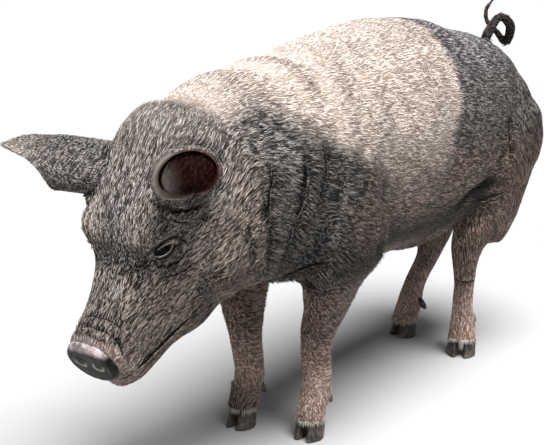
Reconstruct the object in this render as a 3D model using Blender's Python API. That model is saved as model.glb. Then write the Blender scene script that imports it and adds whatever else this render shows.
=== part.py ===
"""A standing pig at life size, head lowered, as the separate solids of its body.

Run with: blender --background --python part.py
Lengths are metres and +Z is up. The pig faces -Y, its left side is +X, and its claws stand on Z = 0.

The flesh is lofted and massed as one closed hide, out to the tips of its bristles. Thin cuts then part it
into trunk, neck, head, legs and tail. Ears, eyes, claws and dewclaws are made one by one and fitted to it.
"""

from collections import namedtuple
from math import acos, atan2, cos, pi, radians, sin

import bmesh
import bpy
from mathutils import Matrix, Vector

# ---------------------------------------------------------------- driving dimensions

GAP = 0.0004  # clearance left wherever two pieces meet
HIDE_VOXEL = 0.0075  # grain of the hide before it is thinned out
HIDE_SMOOTHING = 9
BODY_TRIANGLES = 4100
EAR_ACROSS, EAR_ALONG = 9, 8
TAIL_AROUND = 8
SHARP_ANGLE = radians(50)

# The head's own frame: the nose disc's centre, and how far the muzzle points below the horizon.
NOSE_FORWARD, NOSE_HEIGHT = 0.802, 0.315
HEAD_PITCH = radians(46)
NOSE_FACE_PITCH = radians(30)
NOSE_HALF_WIDTH, NOSE_HALF_HEIGHT, NOSE_THICKNESS = 0.053, 0.041, 0.027

EYE_BACK, EYE_UP, EYE_SIDE, EYE_RADIUS = 0.199, 0.050, 0.067, 0.0185

# Where each ear is rooted on the head: back, up, to the side.
EAR_ROOTS = {"left": (0.308, 0.108, 0.099), "right": (0.298, 0.092, 0.087)}
EAR_LENGTH, EAR_THICKNESS = 0.172, 0.006
EAR_BEND = {"left": -0.004, "right": 0.030}
EAR_CURL, EAR_CURL_ACROSS = 0.040, 0.0535  # half the depth and half the width of the ear's funnel
EAR_FLARE = {"left": (0.88, 0.12), "right": (1.0, -0.25)}  # the funnel's width at its root, and its gain
EAR_HALF_ARCS = (0.118, 0.117, 0.113, 0.095, 0.068, 0.041, 0.025, 0.014, 0.002)  # from root to tip
# Where each ear points and where it opens: forward, to the left, up.
EARS = {
    "left": ((0.78, 0.60, 0.18), (0.02, 0.39, -0.92)),
    "right": ((0.72, -0.62, 0.24), (-0.25, -0.50, -0.85)),
}

CORONET_HEIGHT = 0.037  # where skin meets claw, at the front of the foot
CORONET_DROP = 0.010  # how much lower it lies at the heel
CLAW_LENGTH, CLEFT = 0.052, 0.005
CLAW_WIDTH = {"fore": 0.030, "hind": 0.0335}
DEWCLAW_HEIGHT, DEWCLAW_BEHIND = 0.076, 0.041

# Where each foot stands: to the left, and forward.
FEET = {
    "fore_left": (0.054, 0.265),
    "fore_right": (-0.086, 0.302),
    "hind_left": (0.083, -0.309),
    "hind_right": (-0.091, -0.342),
}
HOCKS = {"hind_left": (0.087, -0.302), "hind_right": (-0.080, -0.432)}
FOREARM_DEPTH = {"fore_left": 1.07, "fore_right": 0.86}
TOE_OUT = {"fore": radians(4), "hind": radians(20)}

COLOURS = {
    "dark_coat": ((0.085, 0.078, 0.072, 1), 0.75),
    "pale_coat": ((0.52, 0.44, 0.37, 1), 0.75),
    "nose_skin": ((0.10, 0.085, 0.08, 1), 0.45),
    "eye": ((0.05, 0.022, 0.012, 1), 0.12),
    "horn": ((0.11, 0.09, 0.075, 1), 0.5),
}

Section = namedtuple("Section", "centre half_width front back turn", defaults=(0,))


# ---------------------------------------------------------------- places and frames

def at(left, forward, height):
    """A place on the pig, measured to its left, towards its nose and above the floor."""
    return Vector((left, -forward, height))


def head_place(back, up, left=0.0):
    """A place on the head, measured back from the nose, up from the muzzle's line and to the left."""
    return at(left, NOSE_FORWARD, NOSE_HEIGHT) - head_direction(1, 0) * back + head_direction(0, 1) * up


def head_direction(along, upward):
    """A direction in the head's plane of symmetry: along the muzzle and up from it."""
    forward = cos(HEAD_PITCH) * along + sin(HEAD_PITCH) * upward
    height = -sin(HEAD_PITCH) * along + cos(HEAD_PITCH) * upward
    return at(0, forward, height)


def head_turn():
    """The rotation that takes +X, +Y, +Z to the head's left, backward and up."""
    return Matrix((Vector((1, 0, 0)), -head_direction(1, 0), head_direction(0, 1))).transposed()


def smooth_between(values, s):
    """Catmull-Rom interpolation through evenly spaced values."""
    i = min(int(s), len(values) - 2)
    t = s - i
    p1, p2 = values[i], values[i + 1]
    p0 = values[i - 1] if i > 0 else p1 * 2 - p2
    p3 = values[i + 2] if i + 2 < len(values) else p2 * 2 - p1
    return (p1 * 2 + (p2 - p0) * t + (p0 * 2 - p1 * 5 + p2 * 4 - p3) * t * t
            + (p1 * 3 - p0 - p2 * 3 + p3) * t ** 3) / 2


# ---------------------------------------------------------------- making objects

def new_object(name, bm):
    mesh = bpy.data.meshes.new(name)
    bm.to_mesh(mesh)
    bm.free()
    obj = bpy.data.objects.new(name, mesh)
    bpy.context.scene.collection.objects.link(obj)
    return obj


def settle(obj):
    """Turns an object's modifiers into plain mesh."""
    graph = bpy.context.evaluated_depsgraph_get()
    mesh = bpy.data.meshes.new_from_object(obj.evaluated_get(graph))
    obj.modifiers.clear()
    obj.data = mesh
    return obj


def combine(target, other, operation, keep=False):
    """Cuts, joins or intersects target with other, which is removed unless it is kept."""
    modifier = target.modifiers.new("shape", "BOOLEAN")
    modifier.object = other
    modifier.operation = operation
    modifier.solver = "EXACT"
    settle(target)
    if not keep:
        bpy.data.objects.remove(other)
    return target


def loft(name, sections, around=28, along=24, flatness=2.2):
    """A closed tube through sections, whose first and last have no width: a sphere drawn out along them."""
    last = len(sections) - 1
    centres = [s.centre for s in sections]
    sizes = [Vector((s.half_width, s.front, s.back, s.turn)) for s in sections]
    bm = bmesh.new()
    bmesh.ops.create_uvsphere(bm, u_segments=around, v_segments=along, radius=1)
    for v in bm.verts:
        s = acos(max(-1.0, min(1.0, v.co.z))) / pi * last
        angle = atan2(v.co.y, v.co.x)
        centre = smooth_between(centres, s)
        step = smooth_between(centres, min(s + 0.01, last)) - smooth_between(centres, max(s - 0.01, 0))
        step.x = 0
        across = step.normalized().cross(Vector((1, 0, 0)))
        width, front, back, turn = smooth_between(sizes, s)
        side, rise = (abs(x) ** (2 / flatness) * (1 if x > 0 else -1) for x in (cos(angle), sin(angle)))
        reach = Vector((side * max(width, 0), 0, 0)) + across * rise * max(front if rise > 0 else back, 0)
        v.co = centre + Matrix.Rotation(turn, 3, "Z") @ reach
    bmesh.ops.recalc_face_normals(bm, faces=bm.faces)
    return new_object(name, bm)


def mass(name, centre, radii, turn=None, around=24, along=16):
    """An ellipsoid of muscle or fat."""
    bm = bmesh.new()
    bmesh.ops.create_uvsphere(bm, u_segments=around, v_segments=along, radius=1)
    shape = (turn or Matrix.Identity(3)).to_4x4() @ Matrix.Diagonal((*radii, 1))
    bmesh.ops.transform(bm, matrix=Matrix.Translation(centre) @ shape, verts=bm.verts)
    return new_object(name, bm)


def slab(name, centre, half_sizes, turn):
    """A thin plate used as a cutter."""
    bm = bmesh.new()
    bmesh.ops.create_cube(bm, size=2)
    shape = turn.to_4x4() @ Matrix.Diagonal((*half_sizes, 1))
    bmesh.ops.transform(bm, matrix=Matrix.Translation(centre) @ shape, verts=bm.verts)
    bmesh.ops.recalc_face_normals(bm, faces=bm.faces)
    return new_object(name, bm)


def join(name, pieces):
    bm = bmesh.new()
    for piece in pieces:
        bm.from_mesh(piece.data)
        bpy.data.objects.remove(piece)
    return new_object(name, bm)


# ---------------------------------------------------------------- the hide

def body_section(forward, top, bottom, half_width, middle=0.54):
    """A cross-section of trunk or neck, from its top and bottom heights."""
    height = bottom + (top - bottom) * middle
    return Section(at(0, forward, height), half_width, top - height, height - bottom)


def trunk():
    return loft("trunk", [
        Section(at(0, -0.572, 0.540), 0, 0, 0),
        body_section(-0.558, 0.610, 0.455, 0.068),
        body_section(-0.515, 0.655, 0.395, 0.103),
        body_section(-0.430, 0.711, 0.370, 0.145),
        body_section(-0.320, 0.748, 0.350, 0.164),
        body_section(-0.180, 0.780, 0.289, 0.176),
        body_section(-0.030, 0.792, 0.304, 0.180),
        body_section(0.110, 0.780, 0.315, 0.174),
        body_section(0.220, 0.766, 0.324, 0.166),
        body_section(0.310, 0.753, 0.332, 0.152),
        body_section(0.380, 0.738, 0.348, 0.130),
        Section(at(0, 0.450, 0.540), 0, 0, 0),
    ], around=36, along=40, flatness=2.3)


def neck():
    return loft("neck", [
        Section(at(0, 0.180, 0.560), 0, 0, 0),
        body_section(0.200, 0.735, 0.430, 0.110),
        body_section(0.300, 0.757, 0.345, 0.148),
        body_section(0.400, 0.746, 0.345, 0.146),
        body_section(0.490, 0.742, 0.355, 0.136),
        body_section(0.570, 0.717, 0.400, 0.124),
        body_section(0.630, 0.697, 0.450, 0.106),
        Section(at(0, 0.700, 0.600), 0, 0, 0),
    ], around=32, along=30, flatness=2.2)


def head_section(back, up, half_width, front, behind):
    """A cross-section of the head, from how far it reaches over and under the muzzle's line."""
    return Section(head_place(back, up), half_width, front, behind)


def head():
    """The skull with the upper and lower jaw closed, wide at the cheeks and dished before the eyes."""
    return loft("head", [
        head_section(0.414, -0.020, 0, 0, 0),
        head_section(0.394, -0.020, 0.086, 0.150, 0.115),
        head_section(0.352, -0.010, 0.104, 0.168, 0.178),
        head_section(0.308, 0.000, 0.107, 0.156, 0.204),
        head_section(0.264, 0.008, 0.104, 0.128, 0.212),
        head_section(0.218, 0.010, 0.093, 0.104, 0.212),
        head_section(0.172, 0.004, 0.076, 0.065, 0.192),
        head_section(0.126, 0.000, 0.061, 0.051, 0.168),
        head_section(0.080, -0.006, 0.052, 0.050, 0.131),
        head_section(0.036, -0.010, 0.049, 0.055, 0.108),
        head_section(0.006, -0.014, 0.046, 0.054, 0.084),
        head_section(-0.016, -0.016, 0, 0, 0),
    ], around=32, along=40, flatness=2.7)


def head_masses():
    """Cheeks, jowls, brow ridges and the gristle under the ears, on both sides."""
    turn = head_turn()
    pieces = [mass("lower_lip", head_place(0.022, -0.076), (0.032, 0.028, 0.024), turn)]
    for side in (1, -1):
        pieces += [
            mass("cheek", head_place(0.275, -0.080, side * 0.062), (0.055, 0.085, 0.078), turn),
            mass("jowl", head_place(0.318, -0.128, side * 0.055), (0.062, 0.078, 0.070), turn),
            mass("brow", head_place(0.246, 0.078, side * 0.062), (0.030, 0.078, 0.030), turn),
            mass("ear_root", head_place(0.290, 0.080, side * 0.083), (0.042, 0.056, 0.050), turn),
        ]
    return pieces


def leg_sections(side, turn, rows):
    """Sections down a leg: left, forward, height, half width, front and back half depth, share of the turn."""
    return [Section(at(side * left, forward, height), width, front, back, side * turn * share)
            for left, forward, height, width, front, back, share in rows]


def fore_leg(side, foot, depth):
    """A fore leg, from the shoulder to the foot. Depth scales how far it reaches back above the knee."""
    left, forward = abs(foot[0]), foot[1]
    return loft("fore_leg", leg_sections(side, TOE_OUT["fore"], [
        (0.100, 0.240, 0.600, 0, 0, 0, 0),
        (0.104, 0.240, 0.560, 0.052, 0.095, 0.095, 0),
        (0.108, 0.245, 0.480, 0.062, 0.115, 0.112, 0),
        (0.112, 0.252, 0.410, 0.063, 0.098, depth * 0.118, 0),
        (0.110, 0.262, 0.360, 0.053, 0.084, depth * 0.108, 0),
        (left * 0.2 + 0.087, forward * 0.4 + 0.158, 0.320, 0.046, 0.067, depth * 0.096, 0.2),
        (left * 0.4 + 0.065, forward * 0.7 + 0.074, 0.280, 0.040, 0.053, depth * 0.082, 0.5),
        (left * 0.7 + 0.033, forward * 0.9 + 0.018, 0.238, 0.036, 0.045, depth * 0.067, 0.8),
        (left + 0.003, forward - 0.013, 0.191, 0.030, 0.034, 0.046, 1),
        (left + 0.001, forward - 0.018, 0.150, 0.0285, 0.031, 0.040, 1),
        (left, forward - 0.022, 0.118, 0.0285, 0.029, 0.040, 1),
        (left, forward - 0.019, 0.090, 0.0295, 0.029, 0.042, 1),
        (left, forward - 0.008, 0.062, 0.0305, 0.027, 0.036, 1),
        (left, forward, 0.040, 0.0315, 0.027, 0.027, 1),
        (left, forward + 0.002, 0.026, 0.031, 0.026, 0.025, 1),
        (left, forward + 0.002, 0.018, 0, 0, 0, 1),
    ]), around=24, along=48, flatness=2.2)


def hind_leg(side, foot, hock):
    left, forward = abs(foot[0]), foot[1]
    hock_left, hock_forward = abs(hock[0]), hock[1]
    lean = forward - hock_forward
    return loft("hind_leg", leg_sections(side, TOE_OUT["hind"], [
        (0.096, -0.400, 0.680, 0, 0, 0, 0),
        (0.098, -0.405, 0.630, 0.044, 0.095, 0.076, 0),
        (0.102, -0.410, 0.550, 0.064, 0.140, 0.120, 0),
        (0.106, -0.405, 0.460, 0.068, 0.135, 0.140, 0),
        (0.106, -0.390, 0.390, 0.062, 0.108, 0.112, 0.1),
        (0.104, hock_forward * 0.3 - 0.268, 0.345, 0.056, 0.084, 0.121, 0.3),
        (hock_left * 0.4 + 0.064, hock_forward * 0.6 - 0.142, 0.310, 0.048, 0.068, 0.124, 0.5),
        (hock_left * 0.7 + 0.030, hock_forward * 0.9 - 0.034, 0.270, 0.039, 0.054, 0.118, 0.8),
        (hock_left, hock_forward, 0.237, 0.033, 0.042, 0.085, 1),
        (hock_left, hock_forward, 0.209, 0.028, 0.034, 0.054, 1),
        (hock_left, hock_forward + lean * 0.10, 0.180, 0.0255, 0.027, 0.037, 1),
        (hock_left * 0.4 + left * 0.6, hock_forward + lean * 0.35, 0.146, 0.0245, 0.025, 0.032, 1),
        (left, hock_forward + lean * 0.60, 0.111, 0.0250, 0.026, 0.033, 1),
        (left, hock_forward + lean * 0.78 - 0.003, 0.080, 0.0300, 0.028, 0.038, 1),
        (left, hock_forward + lean * 0.92 - 0.002, 0.056, 0.0330, 0.027, 0.033, 1),
        (left, forward, 0.040, 0.0345, 0.027, 0.028, 1),
        (left, forward + 0.002, 0.026, 0.034, 0.026, 0.026, 1),
        (left, forward + 0.002, 0.018, 0, 0, 0, 1),
    ]), around=24, along=54, flatness=2.2)


def body_masses():
    """Ham, shoulder and forearm muscle, on both sides."""
    pieces = []
    for side in (1, -1):
        pieces += [
            mass("ham", at(side * 0.100, -0.436, 0.492), (0.080, 0.137, 0.128)),
            mass("shoulder", at(side * 0.108, 0.250, 0.530), (0.058, 0.105, 0.135)),
            mass("stifle", at(side * 0.118, -0.320, 0.400), (0.042, 0.066, 0.066)),
        ]
    return pieces


def make_hide():
    """Every fleshy mass grown together, smoothed where they meet, and thinned to the triangle budget."""
    pieces = [trunk(), neck(), head(), *head_masses(), *body_masses()]
    for name, foot in FEET.items():
        side = 1 if foot[0] > 0 else -1
        pieces.append(hind_leg(side, foot, HOCKS[name]) if name in HOCKS
                      else fore_leg(side, foot, FOREARM_DEPTH[name]))
    hide = join("hide", pieces)
    remesh = hide.modifiers.new("grow_together", "REMESH")
    remesh.mode = "VOXEL"
    remesh.voxel_size = HIDE_VOXEL
    smooth = hide.modifiers.new("soften", "SMOOTH")
    smooth.factor = 0.5
    smooth.iterations = HIDE_SMOOTHING
    settle(hide)
    thin = hide.modifiers.new("thin_out", "DECIMATE")
    thin.ratio = BODY_TRIANGLES / (2 * len(hide.data.polygons))
    return settle(hide)


# ---------------------------------------------------------------- nose

def nose_turn():
    """The rotation that takes +X, +Y, +Z to the nose disc's left, up and outward."""
    outward = at(0, cos(NOSE_FACE_PITCH), -sin(NOSE_FACE_PITCH))
    left = Vector((1, 0, 0))
    return Matrix((left, outward.cross(left), outward)).transposed()


def make_nose():
    """The gristle disc: an oval with a rounded rim and two nostrils."""
    bm = bmesh.new()
    bmesh.ops.create_cone(bm, cap_ends=True, segments=20, radius1=1, radius2=1, depth=1)
    shape = Matrix.Diagonal((NOSE_HALF_WIDTH, NOSE_HALF_HEIGHT, NOSE_THICKNESS, 1))
    place = Matrix.Translation(nose_centre()) @ nose_turn().to_4x4()
    bmesh.ops.transform(bm, matrix=place @ shape, verts=bm.verts)
    bmesh.ops.bevel(bm, geom=bm.edges[:], offset=NOSE_THICKNESS * 0.25, segments=2, affect="EDGES",
                    profile=0.5, clamp_overlap=True, material=-1)
    nose = new_object("nose", bm)
    for side in (1, -1):
        nostril = mass("nostril", place @ Vector((side * 0.021, 0.002, NOSE_THICKNESS * 0.55)),
                       (0.0105, 0.0085, NOSE_THICKNESS * 0.55), nose_turn(), around=8, along=6)
        combine(nose, nostril, "DIFFERENCE")
    return nose


def nose_room():
    """The space the nose disc takes, and all that lies before it above the lower lip."""
    back, front, lowest, highest = -NOSE_THICKNESS / 2 - GAP, 0.10, -NOSE_HALF_HEIGHT - GAP, 0.10
    centre = nose_turn() @ Vector((0, (lowest + highest) / 2, (back + front) / 2)) + nose_centre()
    return slab("room", centre, (0.10, (highest - lowest) / 2, (front - back) / 2), nose_turn())


def nose_centre():
    outward = at(0, cos(NOSE_FACE_PITCH), -sin(NOSE_FACE_PITCH))
    return at(0, NOSE_FORWARD, NOSE_HEIGHT) - outward * (NOSE_THICKNESS / 2 - 0.004)


# ---------------------------------------------------------------- ears

def make_ear(side_name):
    """A leaf of gristle, curled into a funnel at its root and narrowing to its tip."""
    side = 1 if side_name == "left" else -1
    (forward, left, height), (open_forward, open_left, open_height) = EARS[side_name]
    back, up, outward = EAR_ROOTS[side_name]
    narrowed, flare = EAR_FLARE[side_name]
    root = head_place(back, up, side * outward)
    along = at(left, forward, height).normalized()
    opening = at(open_left, open_forward, open_height)
    opening = (opening - along * opening.dot(along)).normalized()
    across = opening.cross(along)
    bm = bmesh.new()
    bmesh.ops.create_grid(bm, x_segments=EAR_ACROSS, y_segments=EAR_ALONG, size=1)
    for v in bm.verts:
        u, w = (v.co.y + 1) / 2, v.co.x
        half_arc = smooth_between(EAR_HALF_ARCS, u * (len(EAR_HALF_ARCS) - 1))
        angle = w * half_arc / (EAR_CURL * (1 - 0.25 * u))
        curl = EAR_CURL * (narrowed + flare * u)
        ridge = root + along * (EAR_LENGTH * u) + opening * (EAR_BEND[side_name] * u * u - EAR_CURL)
        wide = across * curl * EAR_CURL_ACROSS / EAR_CURL
        v.co = ridge + opening * curl * (1 - cos(angle)) + wide * sin(angle)
    bmesh.ops.remove_doubles(bm, verts=bm.verts, dist=0.0015)
    ear = new_object("ear_" + side_name, bm)
    wall = ear.modifiers.new("gristle", "SOLIDIFY")
    wall.thickness = EAR_THICKNESS
    wall.offset = 0
    settle(ear)
    face_outwards(ear)
    return ear


# ---------------------------------------------------------------- feet

def claw_turn(foot_name):
    """The rotation that turns a foot's toes out."""
    side = 1 if FEET[foot_name][0] > 0 else -1
    return Matrix.Rotation(side * TOE_OUT[foot_name[:4]], 3, "Z")


def make_claw(name, foot_name, lateral):
    """One claw of a foot: a flat D-shaped sole, pointed at the toe, under a wall that leans back."""
    turn = claw_turn(foot_name)
    left, forward = FEET[foot_name]
    full_width = CLAW_WIDTH[foot_name[:4]]
    bm = bmesh.new()
    bmesh.ops.create_cone(bm, cap_ends=True, segments=12, radius1=1, radius2=1, depth=1)
    for v in bm.verts:
        upper = v.co.z > 0
        toe, outer = -v.co.y, v.co.x * lateral
        width = full_width / 2 * (1 - 0.22 * toe - 0.12 * toe * toe)
        x = (outer * width if outer > 0 else outer * width * 0.72) + full_width * 0.42 + CLEFT / 2
        y = toe * CLAW_LENGTH / 2 + 0.006
        x -= 0.0035 * max(toe, 0)
        if upper:
            x = x * 0.93 + 0.001
            y = y * 0.80 - 0.0065
        height = coronet_height(y) if upper else 0.0
        v.co = turn @ Vector((lateral * x, -y, 0)) + Vector((left, -forward, height))
    bmesh.ops.bevel(bm, geom=[e for e in bm.edges if all(v.co.z < 0.001 for v in e.verts)], offset=0.0025,
                    segments=1, affect="EDGES", profile=0.5, clamp_overlap=True, material=-1)
    bmesh.ops.recalc_face_normals(bm, faces=bm.faces)
    return new_object(name, bm)


def coronet_height(forward_of_foot):
    """The height of the coronet, highest at the toe."""
    share = (forward_of_foot + CLAW_LENGTH / 2) / CLAW_LENGTH
    return CORONET_HEIGHT - CORONET_DROP + CORONET_DROP * share


def trim_foot(leg, foot_name):
    """Cuts a leg off along its coronet, and cleaves its toes apart."""
    turn = claw_turn(foot_name)
    left, forward = FEET[foot_name]
    centre = Vector((left, -forward, coronet_height(0) + GAP))
    up = turn @ Vector((0, CORONET_DROP / CLAW_LENGTH, 1)).normalized()
    bm = bmesh.new()
    bm.from_mesh(leg.data)
    cut = bmesh.ops.bisect_plane(bm, geom=bm.verts[:] + bm.edges[:] + bm.faces[:], plane_co=centre,
                                 plane_no=up, clear_inner=True)
    edges = [g for g in cut["geom_cut"] if isinstance(g, bmesh.types.BMEdge)]
    bmesh.ops.holes_fill(bm, edges=edges, sides=0)
    bmesh.ops.recalc_face_normals(bm, faces=bm.faces)
    bm.to_mesh(leg.data)
    bm.free()
    cleft = bmesh.new()
    bmesh.ops.create_cone(cleft, cap_ends=True, segments=4, radius1=1, radius2=0.12, depth=1)
    bmesh.ops.rotate(cleft, verts=cleft.verts, matrix=Matrix.Rotation(radians(45), 3, "Z"))
    shape = Matrix.Diagonal((0.0038, 0.060, 0.060, 1))
    place = Matrix.Translation(Vector((left, -forward, 0.045))) @ turn.to_4x4()
    bmesh.ops.transform(cleft, matrix=place @ shape, verts=cleft.verts)
    bmesh.ops.recalc_face_normals(cleft, faces=cleft.faces)
    return combine(leg, new_object("cleft", cleft), "DIFFERENCE")


def make_dewclaw(name, foot_name, lateral):
    """A small horn behind the pastern, pointing down and back."""
    turn = claw_turn(foot_name)
    left, forward = FEET[foot_name]
    lean = turn @ Matrix.Rotation(radians(28), 3, "X") @ Matrix.Rotation(lateral * radians(-12), 3, "Y")
    centre = Vector((left, -forward, DEWCLAW_HEIGHT)) + turn @ Vector((lateral * 0.0175, DEWCLAW_BEHIND, 0))
    return mass(name, centre, (0.0095, 0.0085, 0.018), lean, around=6, along=5)


# ---------------------------------------------------------------- tail

# Places along the tail: to its right-hand side and back, up, away to the other side, and its radius there.
TAIL = (
    (-0.008, -0.020, 0.000, 0.0135),
    (0.006, 0.0235, 0.000, 0.0122),
    (0.0305, 0.0580, 0.000, 0.0102),
    (0.0560, 0.0380, 0.002, 0.0118),
    (0.0510, -0.0010, 0.014, 0.0100),
    (0.0284, 0.0213, 0.026, 0.0072),
    (0.0070, 0.0450, 0.030, 0.0056),
    (0.0033, 0.0669, 0.031, 0.0050),
    (0.0090, 0.0822, 0.031, 0.0040),
    (0.0215, 0.0998, 0.031, 0.0012),
)
TAIL_BASE = (-0.003, -0.533, 0.694)  # left, forward, height


def tail_place(share):
    """A place on the tail's midline, and the tail's radius there."""
    across, rise, away, radius = smooth_between([Vector(row) for row in TAIL], share * (len(TAIL) - 1))
    place = at(*TAIL_BASE) + at(0.803, -0.595, 0) * across + at(-0.595, -0.803, 0) * away + at(0, 0, rise)
    return place, radius


def tail_piece(name, start, end, rings):
    """A length of the tail, from one share of its path to another."""
    bm = bmesh.new()
    bmesh.ops.create_cone(bm, cap_ends=True, segments=TAIL_AROUND, radius1=1, radius2=1, depth=1)
    for ring in range(1, rings):
        bmesh.ops.bisect_plane(bm, geom=bm.verts[:] + bm.edges[:] + bm.faces[:],
                               plane_co=(0, 0, ring / rings - 0.5), plane_no=(0, 0, 1))
    for v in bm.verts:
        share = start + (end - start) * (v.co.z + 0.5)
        middle, radius = tail_place(share)
        heading = (tail_place(min(share + 0.01, 1))[0] - tail_place(max(share - 0.01, 0))[0]).normalized()
        flank = heading.cross(at(-0.595, -0.803, 0)).normalized()
        v.co = middle + (flank * v.co.x + heading.cross(flank) * v.co.y) * radius
    bmesh.ops.recalc_face_normals(bm, faces=bm.faces)
    return new_object(name, bm)


# ---------------------------------------------------------------- parting the hide

# Each leg's room: how far back and forward it reaches, and two places (left, height) on its inclined cut.
LEG_ROOMS = {
    "fore": ((0.130, 0.400), (0.045, 0.300), (0.175, 0.440)),
    "hind": ((-0.640, -0.225), (0.045, 0.285), (0.190, 0.480)),
}


def leg_room(foot_name, gap):
    """The space below a leg's inclined cut, from the pig's midline outwards."""
    side = 1 if foot_name.endswith("left") else -1
    (rear, front), inner, outer = LEG_ROOMS[foot_name[:4]]
    low, high = at(0.003 - gap, front + gap, -0.1), at(0.35, rear - gap, 0.6)
    bm = bmesh.new()
    bmesh.ops.create_cube(bm, size=2)
    shape = Matrix.Translation((low + high) / 2) @ Matrix.Diagonal((*((high - low) / 2), 1))
    bmesh.ops.transform(bm, matrix=shape, verts=bm.verts)
    cut_up = Vector((inner[1] - outer[1], 0, outer[0] - inner[0])).normalized()
    cut = bmesh.ops.bisect_plane(bm, geom=bm.verts[:] + bm.edges[:] + bm.faces[:],
                                 plane_co=Vector((inner[0], 0, inner[1])) + cut_up * gap,
                                 plane_no=cut_up, clear_outer=True)
    edges = [g for g in cut["geom_cut"] if isinstance(g, bmesh.types.BMEdge)]
    bmesh.ops.holes_fill(bm, edges=edges, sides=0)
    bmesh.ops.scale(bm, vec=(side, 1, 1), verts=bm.verts)
    bmesh.ops.recalc_face_normals(bm, faces=bm.faces)
    return new_object("room", bm)


def copy_of(obj, name):
    copy = bpy.data.objects.new(name, obj.data.copy())
    bpy.context.scene.collection.objects.link(copy)
    return copy


def part_hide(hide):
    """Cuts the hide into trunk, neck, head and legs, and gives them by name."""
    legs = {}
    for foot_name in FEET:
        leg = combine(copy_of(hide, "leg_" + foot_name), leg_room(foot_name, 0), "INTERSECT")
        legs[leg.name] = leg
    for foot_name in FEET:
        combine(hide, leg_room(foot_name, GAP), "DIFFERENCE")
    plates = [
        slab("cut", at(0, 0.345, 0.53), (0.25, GAP / 2, 0.26), Matrix.Rotation(radians(-16), 3, "X")),
        slab("cut", at(0, 0.520, 0.53), (0.22, GAP / 2, 0.26), Matrix.Rotation(radians(25), 3, "X")),
    ]
    combine(hide, join("cuts", plates), "DIFFERENCE")
    return {**legs, **name_pieces(separate(hide))}


def separate(hide):
    """The hide's loose pieces, each an object."""
    bm = bmesh.new()
    bm.from_mesh(hide.data)
    bm.verts.ensure_lookup_table()
    seen, pieces = set(), []
    for start in bm.verts:
        if start.index in seen:
            continue
        island, todo = set(), [start]
        while todo:
            v = todo.pop()
            if v.index in island:
                continue
            island.add(v.index)
            todo += [e.other_vert(v) for e in v.link_edges]
        seen |= island
        piece = bm.copy()
        piece.verts.ensure_lookup_table()
        bmesh.ops.delete(piece, geom=[v for v in piece.verts if v.index not in island], context="VERTS")
        pieces.append(new_object("piece", piece))
    bm.free()
    bpy.data.objects.remove(hide)
    return pieces


def name_pieces(pieces):
    """The trunk, neck and head, told apart by how far back they lie."""
    pieces.sort(key=lambda piece: -max(v.co.y for v in piece.data.vertices))
    for piece, name in zip(pieces, ("trunk", "neck", "head"), strict=True):
        piece.name = name
    return {piece.name: piece for piece in pieces}


def face_outwards(obj):
    bm = bmesh.new()
    bm.from_mesh(obj.data)
    bmesh.ops.recalc_face_normals(bm, faces=bm.faces)
    bm.to_mesh(obj.data)
    bm.free()


def grown(obj, amount):
    """A copy of obj, a little larger all over, to cut its neighbours with."""
    copy = copy_of(obj, "room")
    swell = copy.modifiers.new("swell", "DISPLACE")
    swell.strength = amount
    swell.mid_level = 0
    return settle(copy)


# ---------------------------------------------------------------- finish

def paint(obj, colour):
    rgba, roughness = COLOURS[colour]
    material = bpy.data.materials.get(colour) or bpy.data.materials.new(colour)
    material.use_nodes = True
    shader = material.node_tree.nodes["Principled BSDF"]
    shader.inputs["Base Color"].default_value = rgba
    shader.inputs["Roughness"].default_value = roughness
    obj.data.materials.clear()
    obj.data.materials.append(material)


def centre_on_floor(pieces):
    """Moves the whole pig so that the middle of its footprint is at the origin."""
    corners = [Vector(corner) for piece in pieces for corner in piece.bound_box]
    low = Vector([min(c[i] for c in corners) for i in range(3)])
    high = Vector([max(c[i] for c in corners) for i in range(3)])
    middle = (low + high) / 2
    for piece in pieces:
        piece.data.transform(Matrix.Translation((-middle.x, -middle.y, -low.z)))
        piece.data.update()


def round_off(piece):
    """Shades a piece smooth, but for its sharp edges."""
    for polygon in piece.data.polygons:
        polygon.use_smooth = True
    bm = bmesh.new()
    bm.from_mesh(piece.data)
    for edge in bm.edges:
        edge.smooth = edge.is_manifold and edge.calc_face_angle() < SHARP_ANGLE
    bm.to_mesh(piece.data)
    bm.free()


def main():
    for obj in list(bpy.data.objects):
        bpy.data.objects.remove(obj)
    pieces = part_hide(make_hide())

    nose = make_nose()
    combine(pieces["head"], nose_room(), "DIFFERENCE")

    for side, name in ((1, "left"), (-1, "right")):
        ear = make_ear(name)
        combine(ear, grown(pieces["head"], GAP * 1.3), "DIFFERENCE")
        eye = mass("eye_" + name, head_place(EYE_BACK, EYE_UP, side * EYE_SIDE), (EYE_RADIUS,) * 3,
                   around=10, along=7)
        combine(pieces["head"], grown(eye, GAP), "DIFFERENCE")
        paint(ear, "dark_coat")
        paint(eye, "eye")

    tail = [
        tail_piece("tail_root", 0.0, 0.30, 8),
        tail_piece("tail_curl", 0.303, 0.66, 12),
        tail_piece("tail_tip", 0.663, 1.0, 8),
    ]
    combine(tail[0], grown(pieces["trunk"], GAP), "DIFFERENCE")

    for foot_name in FEET:
        leg = trim_foot(pieces["leg_" + foot_name], foot_name)
        for lateral, where in ((1, "left"), (-1, "right")):
            paint(make_claw(f"claw_{foot_name}_{where}", foot_name, lateral), "horn")
            dewclaw = make_dewclaw(f"dewclaw_{foot_name}_{where}", foot_name, lateral)
            combine(leg, grown(dewclaw, GAP), "DIFFERENCE")
            paint(dewclaw, "horn")
        paint(leg, "dark_coat")

    for piece in [pieces["head"], pieces["neck"], *tail]:
        paint(piece, "dark_coat")
    paint(pieces["trunk"], "pale_coat")
    paint(nose, "nose_skin")
    finished = list(bpy.context.scene.collection.objects)
    for piece in finished:
        round_off(piece)
    centre_on_floor(finished)


main()
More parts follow.
